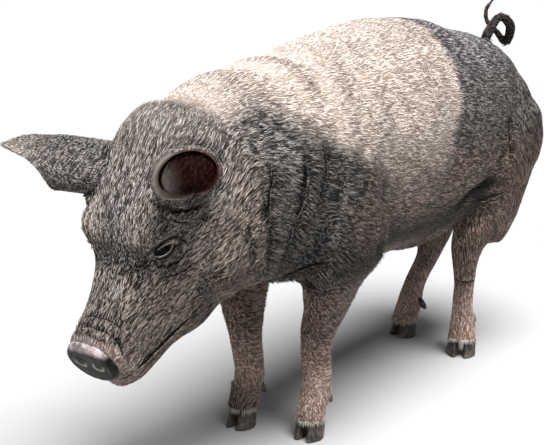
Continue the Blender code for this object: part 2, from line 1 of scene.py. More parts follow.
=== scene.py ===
"""A standing pig with its head lowered: one skin over the solids of its flesh, with folds, lids and lips,
a coat of short bristles, wet eyes and horn claws, on a pale floor under soft light."""

from math import cos, pi, radians, sin

import bmesh
import bpy
import numpy as np
from mathutils import Matrix, Vector
from mathutils.bvhtree import BVHTree
from mathutils.kdtree import KDTree


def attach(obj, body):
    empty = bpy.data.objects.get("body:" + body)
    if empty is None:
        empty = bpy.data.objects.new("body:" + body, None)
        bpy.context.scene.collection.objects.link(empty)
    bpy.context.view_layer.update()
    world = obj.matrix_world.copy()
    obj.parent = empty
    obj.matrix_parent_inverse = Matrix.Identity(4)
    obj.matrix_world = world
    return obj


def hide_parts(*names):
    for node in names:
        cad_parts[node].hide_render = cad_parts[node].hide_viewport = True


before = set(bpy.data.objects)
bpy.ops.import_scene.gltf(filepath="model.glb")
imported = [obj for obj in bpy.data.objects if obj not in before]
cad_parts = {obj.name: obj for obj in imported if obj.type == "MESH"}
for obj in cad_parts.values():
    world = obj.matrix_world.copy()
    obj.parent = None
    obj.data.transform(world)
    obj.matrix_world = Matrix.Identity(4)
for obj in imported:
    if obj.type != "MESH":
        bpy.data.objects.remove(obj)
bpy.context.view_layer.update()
rng = np.random.default_rng(11)

# -------------------- places on the pig

MIDDLE_LEFT, MIDDLE_BACK = -0.0010, 0.1193  # where the shoulder's own zero lies in the row frame
NOSE_FORWARD, NOSE_HEIGHT = 0.802, 0.315
HEAD_PITCH, NOSE_FACE_PITCH = radians(46), radians(30)
NOSE_HALF_WIDTH, NOSE_HALF_HEIGHT, NOSE_THICKNESS = 0.0525, 0.0405, 0.027
EYE_BACK, EYE_UP, EYE_SIDE, EYE_RADIUS = 0.199, 0.050, 0.067, 0.0183

# Where each ear grows, in the head's terms: back, up and aside.
EAR_ROOTS = {"left": (0.308, 0.108, 0.099), "right": (0.298, 0.092, 0.087)}
EAR_LENGTH, EAR_THICKNESS = 0.172, 0.0046
EAR_BEND = {"left": -0.004, "right": 0.030}
EAR_CURL, EAR_CURL_ACROSS = 0.0400, 0.0535
EAR_FLARE = {"left": (0.88, 0.12), "right": (1.0, -0.25)}
EAR_HALF_ARCS = (0.122, 0.122, 0.117, 0.096, 0.068, 0.041, 0.025, 0.014, 0.002)
# The way each ear points and the way it opens: forward, left and up.
EARS = {
    "left": ((0.78, 0.60, 0.18), (0.02, 0.39, -0.92)),
    "right": ((0.72, -0.62, 0.24), (-0.25, -0.50, -0.85)),
}

# The middle of each foot: left and forward.
FEET = {
    "fore_left": (0.054, 0.265),
    "fore_right": (-0.085, 0.302),
    "hind_left": (0.083, -0.309),
    "hind_right": (-0.091, -0.342),
}


def at(left, forward, height):
    """A place measured to the pig's left, towards its nose and above the floor."""
    return Vector((left + MIDDLE_LEFT, MIDDLE_BACK - forward, height))


def way(left, forward, height):
    """A direction, in the same terms."""
    return Vector((left, -forward, height)).normalized()


HEAD_ALONG = way(0, cos(HEAD_PITCH), -sin(HEAD_PITCH))
HEAD_UP = way(0, sin(HEAD_PITCH), cos(HEAD_PITCH))


def on_head(back, up, left=0.0):
    """A place measured back from the nose along the muzzle, up from its line and to the left."""
    return at(left, NOSE_FORWARD, NOSE_HEIGHT) - HEAD_ALONG * back + HEAD_UP * up


def linked(name, data):
    """A new object in the scene that shows a mesh, a light or a camera."""
    obj = bpy.data.objects.new(name, data)
    bpy.context.scene.collection.objects.link(obj)
    return obj


def new_object(name, bm):
    mesh = bpy.data.meshes.new(name)
    bm.to_mesh(mesh)
    bm.free()
    return linked(name, mesh)


def settle(obj):
    """Turns an object's modifiers into plain mesh."""
    mesh = bpy.data.meshes.new_from_object(obj.evaluated_get(bpy.context.evaluated_depsgraph_get()))
    obj.modifiers.clear()
    obj.data = mesh
    return obj


def read(items, name, width, kind=np.float32):
    """One value, or a row of them, from each of a mesh's items."""
    values = np.empty(len(items) * width, dtype=kind)
    items.foreach_get(name, values)
    return values.reshape(-1, width)


def positions(obj):
    return read(obj.data.vertices, "co", 3, np.float64)


def normals(obj):
    return read(obj.data.vertex_normals, "vector", 3).astype(float)


def unwrapped(obj):
    return read(obj.data.uv_layers["OFBake"].data, "uv", 2).astype(float)


def place_all(obj, co):
    obj.data.vertices.foreach_set("co", np.ascontiguousarray(co, dtype=np.float32).ravel())
    obj.data.update()


def unit(rows):
    """Every row brought to a length of one."""
    return rows / np.maximum(np.linalg.norm(rows, axis=1), 1e-9)[:, None]


def along_rows(a, b):
    """The product of each row of a with the same row of b."""
    return np.einsum("ij,ij->i", a, b)


def surface_of(obj):
    """A mesh made ready for finding the place on it that is nearest to another."""
    bm = bmesh.new()
    bm.from_mesh(obj.data)
    tree = BVHTree.FromBMesh(bm)
    bm.free()
    return tree


def settle_on(places, tree):
    """The same places, moved onto a surface."""
    return [np.array(tree.find_nearest(Vector(p))[0]) for p in places]


def finish_piece(obj, material, slot, *replaced):
    """Gives a piece its material and the nodes that it stands for; the slot it is given is not used."""
    obj.data.polygons.foreach_set("use_smooth", np.ones(len(obj.data.polygons), dtype=bool))
    obj.data.materials.clear()
    obj.data.materials.append(material)
    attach(obj, "root")
    if replaced:
        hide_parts(*replaced)
    return obj


def average_neighbours(values, ends):
    first, second, count = ends[:, 0], ends[:, 1], len(values)
    total = [np.bincount(first, column[second], count) + np.bincount(second, column[first], count)
             for column in values.T]
    return np.stack(total, axis=1) / np.maximum(np.bincount(ends.ravel(), minlength=count), 1)[:, None]


def relax(obj, times, amount, keep_volume=True):
    """Smooths a mesh by one amount, or by one for each vertex. Each pass in is followed by one out, when
    keep_volume is set.
    """
    co, ends = positions(obj), read(obj.data.edges, "vertices", 2, np.int32)
    amount = np.broadcast_to(np.asarray(amount, dtype=float).reshape(-1, 1), (len(co), 1))
    for _ in range(times):
        co = co + (average_neighbours(co, ends) - co) * amount
        if keep_volume:
            co = co - (average_neighbours(co, ends) - co) * amount * 1.03
    place_all(obj, co)


def ramp(x, low, high):
    """0 below low, 1 above high, and smooth between. Low may be the larger."""
    t = np.clip((x - low) / (high - low), 0, 1)
    return t * t * (3 - 2 * t)


def pig_terms(co):
    """Left, forward and height of each place."""
    return co[:, 0] - MIDDLE_LEFT, MIDDLE_BACK - co[:, 1], co[:, 2]


def head_terms(co):
    """Back from the nose, up from the muzzle's line, and left, of each place."""
    rest = co - np.array(at(0, NOSE_FORWARD, NOSE_HEIGHT))
    return -(rest @ np.array(HEAD_ALONG)), rest @ np.array(HEAD_UP), rest[:, 0]


def headness(co):
    """1 on the head, 0 behind the jowls."""
    _, forward, height = pig_terms(co)
    return ramp(forward + (0.53 - height) * 0.45, 0.47, 0.55)


def legness(co):
    """1 below the elbow and stifle, 0 on the trunk."""
    _, forward, height = pig_terms(co)
    return ramp(height, 0.40, 0.29) * (1 - headness(co)) * ramp(forward, 0.47, 0.42)


# -------------------- the skin's shape

FLESH = ("trunk", "neck", "head", "nose",
         "leg_fore_left", "leg_fore_right", "leg_hind_left", "leg_hind_right")
TAIL = ("tail_root", "tail_curl", "tail_tip")
SKIN_GRAIN = 0.0078
TAIL_GRAIN = 0.0022


def grown_copy(names, amount):
    """CAD nodes copied, merged and swollen a little so that they run into each other."""
    whole = bmesh.new()
    for name in names:
        bm = bmesh.new()
        bm.from_mesh(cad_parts[name].data)
        bmesh.ops.remove_doubles(bm, verts=bm.verts, dist=0.00002)
        bm.normal_update()
        for v in bm.verts:
            v.co += v.normal * amount
        mesh = bpy.data.meshes.new("copy")
        bm.to_mesh(mesh)
        bm.free()
        whole.from_mesh(mesh)
    return whole


def remeshed(name, bm, grain):
    obj = new_object(name, bm)
    remesh = obj.modifiers.new("remesh", "REMESH")
    remesh.mode = "VOXEL"
    remesh.voxel_size = grain
    return settle(obj)


def coat_depth(co):
    """How deep the coat is, over each place."""
    _, _, height = pig_terms(co)
    back, _, _ = head_terms(co)
    depth = 0.0026 - 0.0014 * legness(co) * ramp(height, 0.26, 0.12)
    on_the_head = 0.0017 - 0.0009 * ramp(back, 0.09, 0.03)
    return depth + (on_the_head - depth) * headness(co)


def make_body():
    body = remeshed("skin", grown_copy(FLESH + ("eye_left", "eye_right"), 0.0006), SKIN_GRAIN)
    co = positions(body)
    _, _, height = pig_terms(co)
    relax(body, 14, 0.6 * ramp(height, 0.035, 0.10) + 0.02)
    relax(body, 2, 0.4 * ramp(height, 0.035, 0.10), keep_volume=False)
    left, forward, height = pig_terms(positions(body))
    nape = ramp(forward, 0.20, 0.30) * ramp(forward, 0.70, 0.62) * ramp(height, 0.58, 0.66)
    relax(body, 26, 0.6 * nape * ramp(np.abs(left), 0.105, 0.070), keep_volume=False)
    co = positions(body)
    place_all(body, co - normals(body) * (coat_depth(co) + 0.0006)[:, None])
    return body


def divide_where(obj, chosen):
    """Divides the edges whose two ends are chosen, and fills the divided faces with a grid."""
    bm = bmesh.new()
    bm.from_mesh(obj.data)
    edges = [e for e in bm.edges if chosen[e.verts[0].index] and chosen[e.verts[1].index]]
    bmesh.ops.subdivide_edges(bm, edges=edges, cuts=1, use_grid_fill=True)
    bm.to_mesh(obj.data)
    bm.free()
    obj.data.update()


def refine_head(body):
    """Gives the head a finer mesh, and its eyes and lips a finer one still."""
    divide_where(body, headness(positions(body)) > 0.3)
    relax(body, 2, 0.5 * (headness(positions(body)) > 0.4))
    for reach in (0.036, 0.027):
        divide_where(body, near_eyes(positions(body), reach))
        relax(body, 2, 0.5 * near_eyes(positions(body), reach))
    co = positions(body)
    back, up, _ = head_terms(co)
    lips = (np.abs(up - mouth_height(back)) < 0.012) & (back < 0.175) & (up < -0.01) & (headness(co) > 0.5)
    divide_where(body, lips & (np.linalg.norm(co - EYES[0].surface, axis=1) > 0.04))


def near_eyes(co, reach):
    return np.any([np.linalg.norm(co - eye.surface, axis=1) < reach for eye in EYES], axis=0)


def mouth_height(back):
    """The height of the mouth's line in the head's terms, from the snout back to its corner."""
    return -0.036 - 0.50 * np.asarray(back)


# -------------------- eyes

# The rear and the front corner of an eye's lids, in the head's terms: back, up and aside.
LID_CORNERS = ((0.2095, 0.0520, 0.087), (0.1765, 0.0680, 0.0705))


class Eye:
    """Where an eye sits, and the frame of the slit between its lids: along it, across it and outwards."""

    def __init__(self, name, side):
        self.name = name
        self.centre = np.array(on_head(EYE_BACK, EYE_UP, side * EYE_SIDE))
        rear, front = (on_head(back, up, side * left) for back, up, left in LID_CORNERS)
        middle = (rear + front) / 2
        outward = (middle - Vector(self.centre)).normalized()
        along = rear - front
        along = (along - outward * along.dot(outward)).normalized()
        across = along.cross(outward) * side
        if across.dot(HEAD_UP) < 0:
            across = -across
        self.out, self.along, self.across = np.array(outward), np.array(along), np.array(across)
        self.surface = self.centre + self.out * EYE_RADIUS

    def local(self, co):
        rest = co - self.centre
        return rest @ self.along, rest @ self.across, rest @ self.out

    def from_slit(self, co):
        """How far each place lies from the open slit, and whether it is before the eyeball's middle."""
        x, y, z = self.local(co)
        top, bottom = slit_edges(x)
        beyond = np.maximum(np.abs(x) - SLIT_HALF_LENGTH, 0)
        return np.hypot(np.maximum(np.maximum(y - top, bottom - y), 0), beyond), z > 0


EYES = [Eye("left", 1), Eye("right", -1)]
SLIT_HALF_LENGTH, SLIT_TOP, SLIT_BOTTOM = 0.0242, 0.0045, 0.0052
LID_THICKNESS = 0.0019


def slit_edges(x):
    """The upper and the lower lid's edge along the slit: flat above, fuller below."""
    t = np.clip(np.abs(x) / SLIT_HALF_LENGTH, 0, 1)
    shape = (1 - t * t)
    lean = 0.12 * x
    return lean + SLIT_TOP * shape ** 0.75, lean - SLIT_BOTTOM * shape ** 0.9


def shape_lids(body):
    """Draws the skin over the eyeballs as lids, and sinks it behind them in the slit."""
    co = positions(body)
    for eye in EYES:
        x, y, z = eye.local(co)
        near = (z > 0) & (z < 0.05) & (np.hypot(x, y) < 0.034)
        top, bottom = slit_edges(x)
        inside = np.minimum(top - y, y - bottom)  # positive in the slit
        inside = np.where(np.abs(x) < SLIT_HALF_LENGTH, inside, -0.01)
        reach = np.linalg.norm(co - eye.centre, axis=1)
        heading = (co - eye.centre) / np.maximum(reach, 1e-6)[:, None]
        lid = EYE_RADIUS + LID_THICKNESS
        ring = ramp(np.hypot(x, y * 1.15), 0.026, 0.0125)
        target = reach + (lid - reach) * ring
        target = np.where(reach > lid, reach + (lid - reach) * ring * 0.85, target)
        target = np.maximum(target, np.where(ring > 0.5, lid, 0))
        rim = np.exp(-((inside + 0.0016) / 0.0011) ** 2) - np.exp(-((inside + 0.0048) / 0.0014) ** 2)
        target = target + 0.0019 * rim * ring
        opened = ramp(inside, -0.0003, 0.0006)
        target = target + (EYE_RADIUS - 0.0045 - target) * opened
        co = np.where(near[:, None], eye.centre + heading * target[:, None], co)
    place_all(body, co)


def around_slit(co):
    """1 on the lids' pale rims, and 1 in the line of painted shade that runs round them."""
    rim, line = np.zeros(len(co)), np.zeros(len(co))
    for eye in EYES:
        off, before = eye.from_slit(co)
        rim = np.maximum(rim, ramp(off, 0.0044, 0.0032) * before)
        line = np.maximum(line, np.exp(-((off - 0.0064) / 0.0015) ** 2) * before)
    return rim, line


# -------------------- folds and wrinkles

# Each crease: is it on the head, is it on both sides, its half width, its depth (below 0 for a ridge) and
# its places. All is in millimetres: back, up and left on the head, and forward, left and height elsewhere.
HEAD, BODY, BOTH, ONE = True, False, True, False
CREASES = [
    # round the eye
    (HEAD, BOTH, 2.8, 4, [(172, 64, 58), (180, 66, 66), (191, 69, 75), (205, 67, 81), (216, 60, 87),
        (223, 48, 91), (224, 26, 92)]),
    (HEAD, BOTH, 8, -3.2, [(180, 86, 58), (206, 90, 76), (234, 76, 94)]),
    (HEAD, BOTH, 2.4, 4.8, [(180, 58, 64), (172, 51, 60), (164, 48, 54), (155, 47, 46), (147, 53, 36)]),
    (HEAD, BOTH, 2.8, 3.6, [(168, 44, 68), (174, 35, 73), (186, 24, 81), (202, 17, 86), (216, 21, 90)]),
    (HEAD, BOTH, 4.5, -2.2, [(168, 30, 68), (182, 12, 80), (205, 2, 88)]),
    (HEAD, BOTH, 3, 1.8, [(163, 20, 68), (182, -2, 80), (206, -12, 88)]),
    # under the ear
    (HEAD, BOTH, 4, 7, [(238, 112, 66), (243, 100, 95), (258, 84, 113), (278, 70, 119)]),
    (HEAD, BOTH, 5, -3.4, [(228, 104, 70), (236, 88, 92), (256, 64, 108)]),
    (HEAD, BOTH, 3.4, 2.6, [(236, 90, 90), (242, 69, 96), (259, 56, 107)]),
    (HEAD, BOTH, 4, 5, [(277, 84, 119), (274, 58, 113), (271, 28, 106)]),
    # the snout
    (HEAD, ONE, 4.2, -3, [(30, 46, -42), (34, 46, -15), (34, 46, 15), (28, 38, 46)]),
    (HEAD, BOTH, 4.2, -3, [(28, 38, 46), (20, 4, 52), (14, -36, 46)]),
    (HEAD, ONE, 3, 2.4, [(41, 42, -36), (44, 44, 3), (46, 34, 33)]),
    (HEAD, BOTH, 3, 2.4, [(46, 34, 33), (40, 11, 46), (25, -12, 49)]),
    (HEAD, ONE, 3, 1.2, [(60, 44, -32), (63, 46, 0), (66, 36, 31), (60, 14, 46)]),
    # the cheek's rear edge and the folds of the neck
    (BODY, BOTH, 9, 11, [(519, 133, 545), (507, 131, 513), (492, 126, 476), (478, 107, 420),
        (471, 80, 380)]),
    (BODY, BOTH, 20, -6, [(530, 128, 505), (517, 122, 462), (500, 100, 405)]),
    (BODY, BOTH, 6, 4, [(496, 131, 600), (495, 133, 566), (507, 132, 520)]),
    (BODY, BOTH, 7.5, 13, [(411, 140, 610), (410, 142, 585), (412, 142, 556), (424, 140, 510),
        (438, 125, 458), (428, 108, 418), (409, 86, 385)]),
    (BODY, BOTH, 11, -5, [(392, 142, 600), (392, 146, 548), (408, 142, 490), (412, 125, 425)]),
    (BODY, BOTH, 8, 1.4, [(362, 148, 610), (352, 150, 580), (362, 150, 530), (385, 140, 470)]),
    # shoulder and elbow
    (BODY, BOTH, 13, 6.5, [(188, 168, 530), (181, 167, 500), (176, 162, 450), (190, 160, 410),
        (225, 158, 380)]),
    (BODY, BOTH, 26, -5, [(235, 168, 575), (225, 172, 540), (222, 170, 470)]),
    (BODY, BOTH, 4, 2.2, [(346, 80, 346), (330, 124, 337), (312, 144, 340), (286, 153, 354)]),
    (BODY, BOTH, 3.4, 2.5, [(345, 85, 340), (328, 120, 332)]),
    (BODY, BOTH, 5, 3, [(352, 40, 380), (348, 90, 382), (330, 140, 392)]),
    # flank, ham and hock
    (BODY, BOTH, 14, 16, [(-120, 150, 398), (-192, 154, 412), (-262, 150, 418), (-316, 158, 412)]),
    (BODY, BOTH, 7, 4.5, [(-250, 140, 384), (-290, 150, 388), (-335, 160, 392)]),
    (BODY, BOTH, 6, 5, [(-341, 160, 562), (-345, 162, 520), (-347, 164, 470)]),
    (BODY, ONE, 2.6, 3.4, [(-276, 62, 186), (-279, 90, 186), (-300, 116, 186)]),
]

MOUTH = [(2, -50, 28), (34, -57, 47), (70, -74, 46), (105, -89, 47), (130, -97, 51), (154, -103, 58)]
CREASES += [
    (HEAD, BOTH, 2.2, 5.8, MOUTH),
    (HEAD, BOTH, 2.8, -2.2, [(b, u - 5.5, s) for b, u, s in MOUTH]),
    (HEAD, BOTH, 4, 3.4, [(152, -112, 57), (160, -106, 62), (172, -104, 66)]),
]


def near_line(co, line, width):
    """How near each place is to a line of places: 1 on it, fading over width and towards its ends."""
    best = np.zeros(len(co))
    line = [line[0]] + [b for a, b in zip(line, line[1:]) if np.linalg.norm(b - a) > 0.0002]
    if len(line) < 3:
        return best
    steps = [np.linalg.norm(b - a) for a, b in zip(line, line[1:])]
    total, done = sum(steps), 0.0
    box = (np.min(line, axis=0) - width * 3, np.max(line, axis=0) + width * 3)
    chosen = np.flatnonzero(np.all((co > box[0]) & (co < box[1]), axis=1))
    if not len(chosen):
        return best
    place = co[chosen]
    for (a, b), step in zip(zip(line, line[1:]), steps):
        t = np.clip(((place - a) @ (b - a)) / step ** 2, 0, 1)
        off = np.linalg.norm(place - (a + t[:, None] * (b - a)), axis=1)
        share = (done + t * step) / total
        fade = ramp(np.minimum(share, 1 - share), 0.0, 0.16) * 0.85 + 0.15
        best[chosen] = np.maximum(best[chosen], np.exp(-(off / width) ** 2) * fade)
        done += step
    return best


def crease_line(on_the_head, places, side):
    """The places of a crease, on one side, rounded into a smooth line."""
    metres = [[value / 1000 for value in place] for place in places]
    if on_the_head:
        line = [np.array(on_head(b, u, s * side)) for b, u, s in metres]
    else:
        line = [np.array(at(s * side, f, h)) for f, s, h in metres]
    for _ in range(2):
        cut = [line[0]]
        for a, b in zip(line, line[1:]):
            cut += [a * 0.75 + b * 0.25, a * 0.25 + b * 0.75]
        line = cut + [line[-1]]
    return line


def each_crease(tree):
    """The line of every crease on each side that has it, with its half width and its depth."""
    for on_the_head, both, width, depth, places in CREASES:
        for side in (1, -1) if both else (1,):
            yield settle_on(crease_line(on_the_head, places, side), tree), width / 1000, depth / 1000


def press_creases(body):
    """Presses every crease into the skin."""
    co, outward = positions(body), normals(body)
    shift = np.zeros(len(co))
    for line, width, depth in each_crease(surface_of(body)):
        shift -= near_line(co, line, width) * depth
    place_all(body, co + outward * shift[:, None])


def crease_shade_lines(obj):
    """The line, half width and strength of the painted shade of every crease, as it lies on the finished
    skin.
    """
    return [(line, width * 0.85, min(1.0, depth / 0.0035))
            for line, width, depth in each_crease(surface_of(obj)) if depth > 0]


def painted_shade_of_creases(co, lines):
    # painted shade: how dark each place is painted for lying in or near a crease
    dark = np.zeros(len(co))
    for line, width, depth in lines:
        dark = np.maximum(dark, near_line(co, line, width) * depth)
    return dark


# -------------------- nose disc, ears and tail

def nose_frame():
    """The place and the rotation of the nose disc: to its left, up and outward."""
    outward, left = way(0, cos(NOSE_FACE_PITCH), -sin(NOSE_FACE_PITCH)), Vector((1, 0, 0))
    turn = Matrix((left, outward.cross(left), outward)).transposed()
    return at(0, NOSE_FORWARD, NOSE_HEIGHT) - outward * (NOSE_THICKNESS / 2 - 0.004), turn


def nostril_off(x, y):
    """How far each place on the disc is from the middle of its comma-shaped nostril: 1 at its edge."""
    u, v = np.abs(x) - 0.0205, y - 0.0015
    oval = np.hypot((u * 0.92 + v * 0.39) / 0.0092, (v * 0.92 - u * 0.39) / 0.0066)
    return np.minimum(oval, np.hypot((u - 0.0085) / 0.0052, (v - 0.0065) / 0.0034))


def make_nose():
    """The disc of the snout: a rounded oval slab with two comma-shaped nostrils and a dished face."""
    bm = bmesh.new()
    bmesh.ops.create_uvsphere(bm, u_segments=84, v_segments=82, radius=1)
    disc = new_object("nose_disc", bm)
    co = positions(disc)
    angle = np.arctan2(co[:, 1], co[:, 0])
    drop = np.arccos(np.clip(co[:, 2], -1, 1))
    # the sphere's rings are spread evenly over the face, the rim and the back
    share = drop / pi
    radial = np.clip(np.interp(share, [0, 0.40, 0.50, 0.60, 1], [0, 0.86, 1.0, 0.97, 0]), 0, 1)
    level = np.interp(share, [0, 0.40, 0.445, 0.50, 0.60, 0.66, 1],
                      [0.42, 0.47, 0.40, 0.15, -0.35, -0.50, -0.50])
    wide = 1 - 0.035 * np.sin(angle)
    x = radial * np.cos(angle) * NOSE_HALF_WIDTH * wide
    y = radial * np.sin(angle) * NOSE_HALF_HEIGHT
    y = y - 0.0025 * np.exp(-(x / 0.014) ** 2) * (y > 0) * radial
    z = level * NOSE_THICKNESS
    face = ramp(share, 0.44, 0.38)
    off = nostril_off(x, y)
    z = z - 0.0135 * ramp(off, 1.12, 0.72) * face + 0.0016 * np.exp(-((off - 1.38) / 0.26) ** 2) * face
    z = z - 0.0016 * np.exp(-(x / 0.0035) ** 2) * ramp(y, 0.030, 0.0) * face
    place, turn = nose_frame()
    place_all(disc, np.stack([x, y, z], axis=1) @ np.array(turn).T + np.array(place))
    relax(disc, 1, 0.3, keep_volume=False)
    return disc


def smooth_between(values, s):
    """Catmull-Rom interpolation through evenly spaced values."""
    i = min(int(s), len(values) - 2)
    t = s - i
    p1, p2 = values[i], values[i + 1]
    p0 = values[i - 1] if i > 0 else p1 * 2 - p2
    p3 = values[i + 2] if i + 2 < len(values) else p2 * 2 - p1
    return (p1 * 2 + (p2 - p0) * t + (p0 * 2 - p1 * 5 + p2 * 4 - p3) * t * t
            + (p1 * 3 - p0 - p2 * 3 + p3) * t ** 3) / 2


EAR_SUNK = -0.28  # where an ear's leaf begins, inside the head, as a share of its length


def ear_place(side_name, u, w):
    """A place on an ear's leaf: u from its root (below 0 in the head) to its tip, w from edge to edge."""
    root, along, opening, across = ear_axis(side_name)
    grown = max(u, 0)
    half_arc = smooth_between(EAR_HALF_ARCS, grown * (len(EAR_HALF_ARCS) - 1))
    curl = EAR_CURL * (EAR_FLARE[side_name][0] + EAR_FLARE[side_name][1] * u)
    angle = w * half_arc / (EAR_CURL * (1 - 0.25 * grown))
    ridge = root + along * (EAR_LENGTH * u) + opening * (EAR_BEND[side_name] * grown ** 2 - EAR_CURL)
    flare = 1 + 0.10 * max(0, abs(w) - 0.75) * 4 * (1 - grown)
    ripple = 0.0022 * sin(9 * u + 3.0 * w) * abs(w)
    wide = across * (curl * flare * EAR_CURL_ACROSS / EAR_CURL)
    return ridge + opening * (curl * (1 - cos(angle)) + ripple) + wide * sin(angle)


def make_ear(side_name):
    """A thin leaf of gristle curled into a funnel at its root, with a rounded rim."""
    bm = bmesh.new()
    bmesh.ops.create_grid(bm, x_segments=44, y_segments=46, size=1)
    for v in bm.verts:
        v.co = ear_place(side_name, EAR_SUNK + (1 - EAR_SUNK) * (v.co.y + 1) / 2, v.co.x)
    bmesh.ops.remove_doubles(bm, verts=bm.verts, dist=0.0004)
    ear = new_object("ear", bm)
    wall = ear.modifiers.new("gristle", "SOLIDIFY")
    wall.thickness, wall.offset = EAR_THICKNESS, 0
    settle(ear)
    bm = bmesh.new()
    bm.from_mesh(ear.data)
    bmesh.ops.recalc_face_normals(bm, faces=bm.faces)
    rims = [e for e in bm.edges if e.is_manifold and e.calc_face_angle() > radians(60)]
    bmesh.ops.bevel(bm, geom=rims, offset=EAR_THICKNESS * 0.42, segments=2, affect="EDGES", profile=0.5,
                    clamp_overlap=True, material=-1)
    bmesh.ops.recalc_face_normals(bm, faces=bm.faces)
    bm.to_mesh(ear.data)
    bm.free()
    return ear


EAR_FLOOR, EAR_FRONT_RISE = 0.012, 0.040


def ear_axis(side_name):
    """An ear's root, the way it points, the way it opens and the way across it."""
    back, up, outward = EAR_ROOTS[side_name]
    pointing, opening = EARS[side_name]
    along = way(pointing[1], pointing[0], pointing[2])
    opening = Vector((opening[1], -opening[0], opening[2]))
    opening = (opening - along * opening.dot(along)).normalized()
    side = 1 if side_name == "left" else -1
    return on_head(back, up, side * outward), along, opening, opening.cross(along)


def in_funnel(co, side_name):
    """How far each place lies along an ear's axis, across it towards its front, and away from it. The last
    two are shares of the funnel's own half width."""
    root, along, opening, across = (np.array(v) for v in ear_axis(side_name))
    rest = co - root
    narrowed = EAR_FLARE[side_name][0]
    front = rest @ across / (EAR_CURL_ACROSS * narrowed) * (1 if side_name == "left" else -1)
    return rest @ along, front, np.hypot(rest @ opening / (EAR_CURL * narrowed), front)


def funnel_floor(front):
    """How far along the axis the floor of the funnel lies: deep behind, rising to the front wall."""
    return EAR_FLOOR + EAR_FRONT_RISE * ramp(front, 0.05, 0.95)


def hollow_ears(body):
    """Shapes the head inside each ear into the floor of its funnel."""
    co = positions(body)
    for side_name in EARS:
        along = np.array(ear_axis(side_name)[1])
        reach, front, off = in_funnel(co, side_name)
        inside = (reach > -0.09) & (reach < 0.12) & (off < 1.0)
        shift = np.where(inside, funnel_floor(front) - reach, 0)
        co = co + along * (shift * ramp(off, 1.0, 0.90))[:, None]
    place_all(body, co)


def make_tail():
    tail = remeshed("tail", grown_copy(TAIL, 0.0004), TAIL_GRAIN)
    relax(tail, 8, 0.5)
    co = positions(tail)
    place_all(tail, co - normals(tail) * 0.0012)
    return tail


def unite(body, pieces):
    for piece in pieces:
        union = body.modifiers.new("grow_together", "BOOLEAN")
        union.object = piece
        union.operation = "UNION"
        union.solver = "EXACT"
        settle(body)
        bpy.data.objects.remove(piece)
    return body


body = make_body()
refine_head(body)
press_creases(body)
shape_lids(body)
hollow_ears(body)
skin = unite(body, [make_nose(), make_ear("left"), make_ear("right"), make_tail()])


# -------------------- regions of the finished skin

# The tail's curl, place by place from its base: across, up and away from it.
TAIL_TURNS = (
    (-0.008, -0.020, 0.0), (0.006, 0.0235, 0.0), (0.0305, 0.0580, 0.0), (0.0560, 0.0380, 0.002),
    (0.0510, -0.0010, 0.014), (0.0284, 0.0213, 0.026), (0.0070, 0.0450, 0.030), (0.0033, 0.0669, 0.031),
    (0.0090, 0.0822, 0.031), (0.0215, 0.0998, 0.031),
)
TAIL_BASE = (-0.003, -0.533, 0.694)
TAIL_PLACES, BRUSH_FROM, BRUSH_TO = 46, 33, 44  # places along its line, and those that the brush grows from


def tail_line():
    """Places along the middle of the tail, from its root to its tip."""
    across, away = np.array(way(0.803, -0.595, 0)), np.array(way(-0.595, -0.803, 0))
    base = np.array(at(*TAIL_BASE))
    knots = [base + across * a + np.array((0, 0, r)) + away * w for a, r, w in TAIL_TURNS]
    return np.array([smooth_between(knots, s) for s in np.linspace(0, len(knots) - 1.001, TAIL_PLACES)])


def tree_of(places):
    tree = KDTree(len(places))
    for i, place in enumerate(places):
        tree.insert(place, i)
    tree.balance()
    return tree


def nearest(places, tree):
    """The index of, and the distance to, the place in a tree that is nearest to each place."""
    found = [tree.find(place)[1:] for place in places]
    return np.array([f[0] for f in found], dtype=int), np.array([f[1] for f in found])


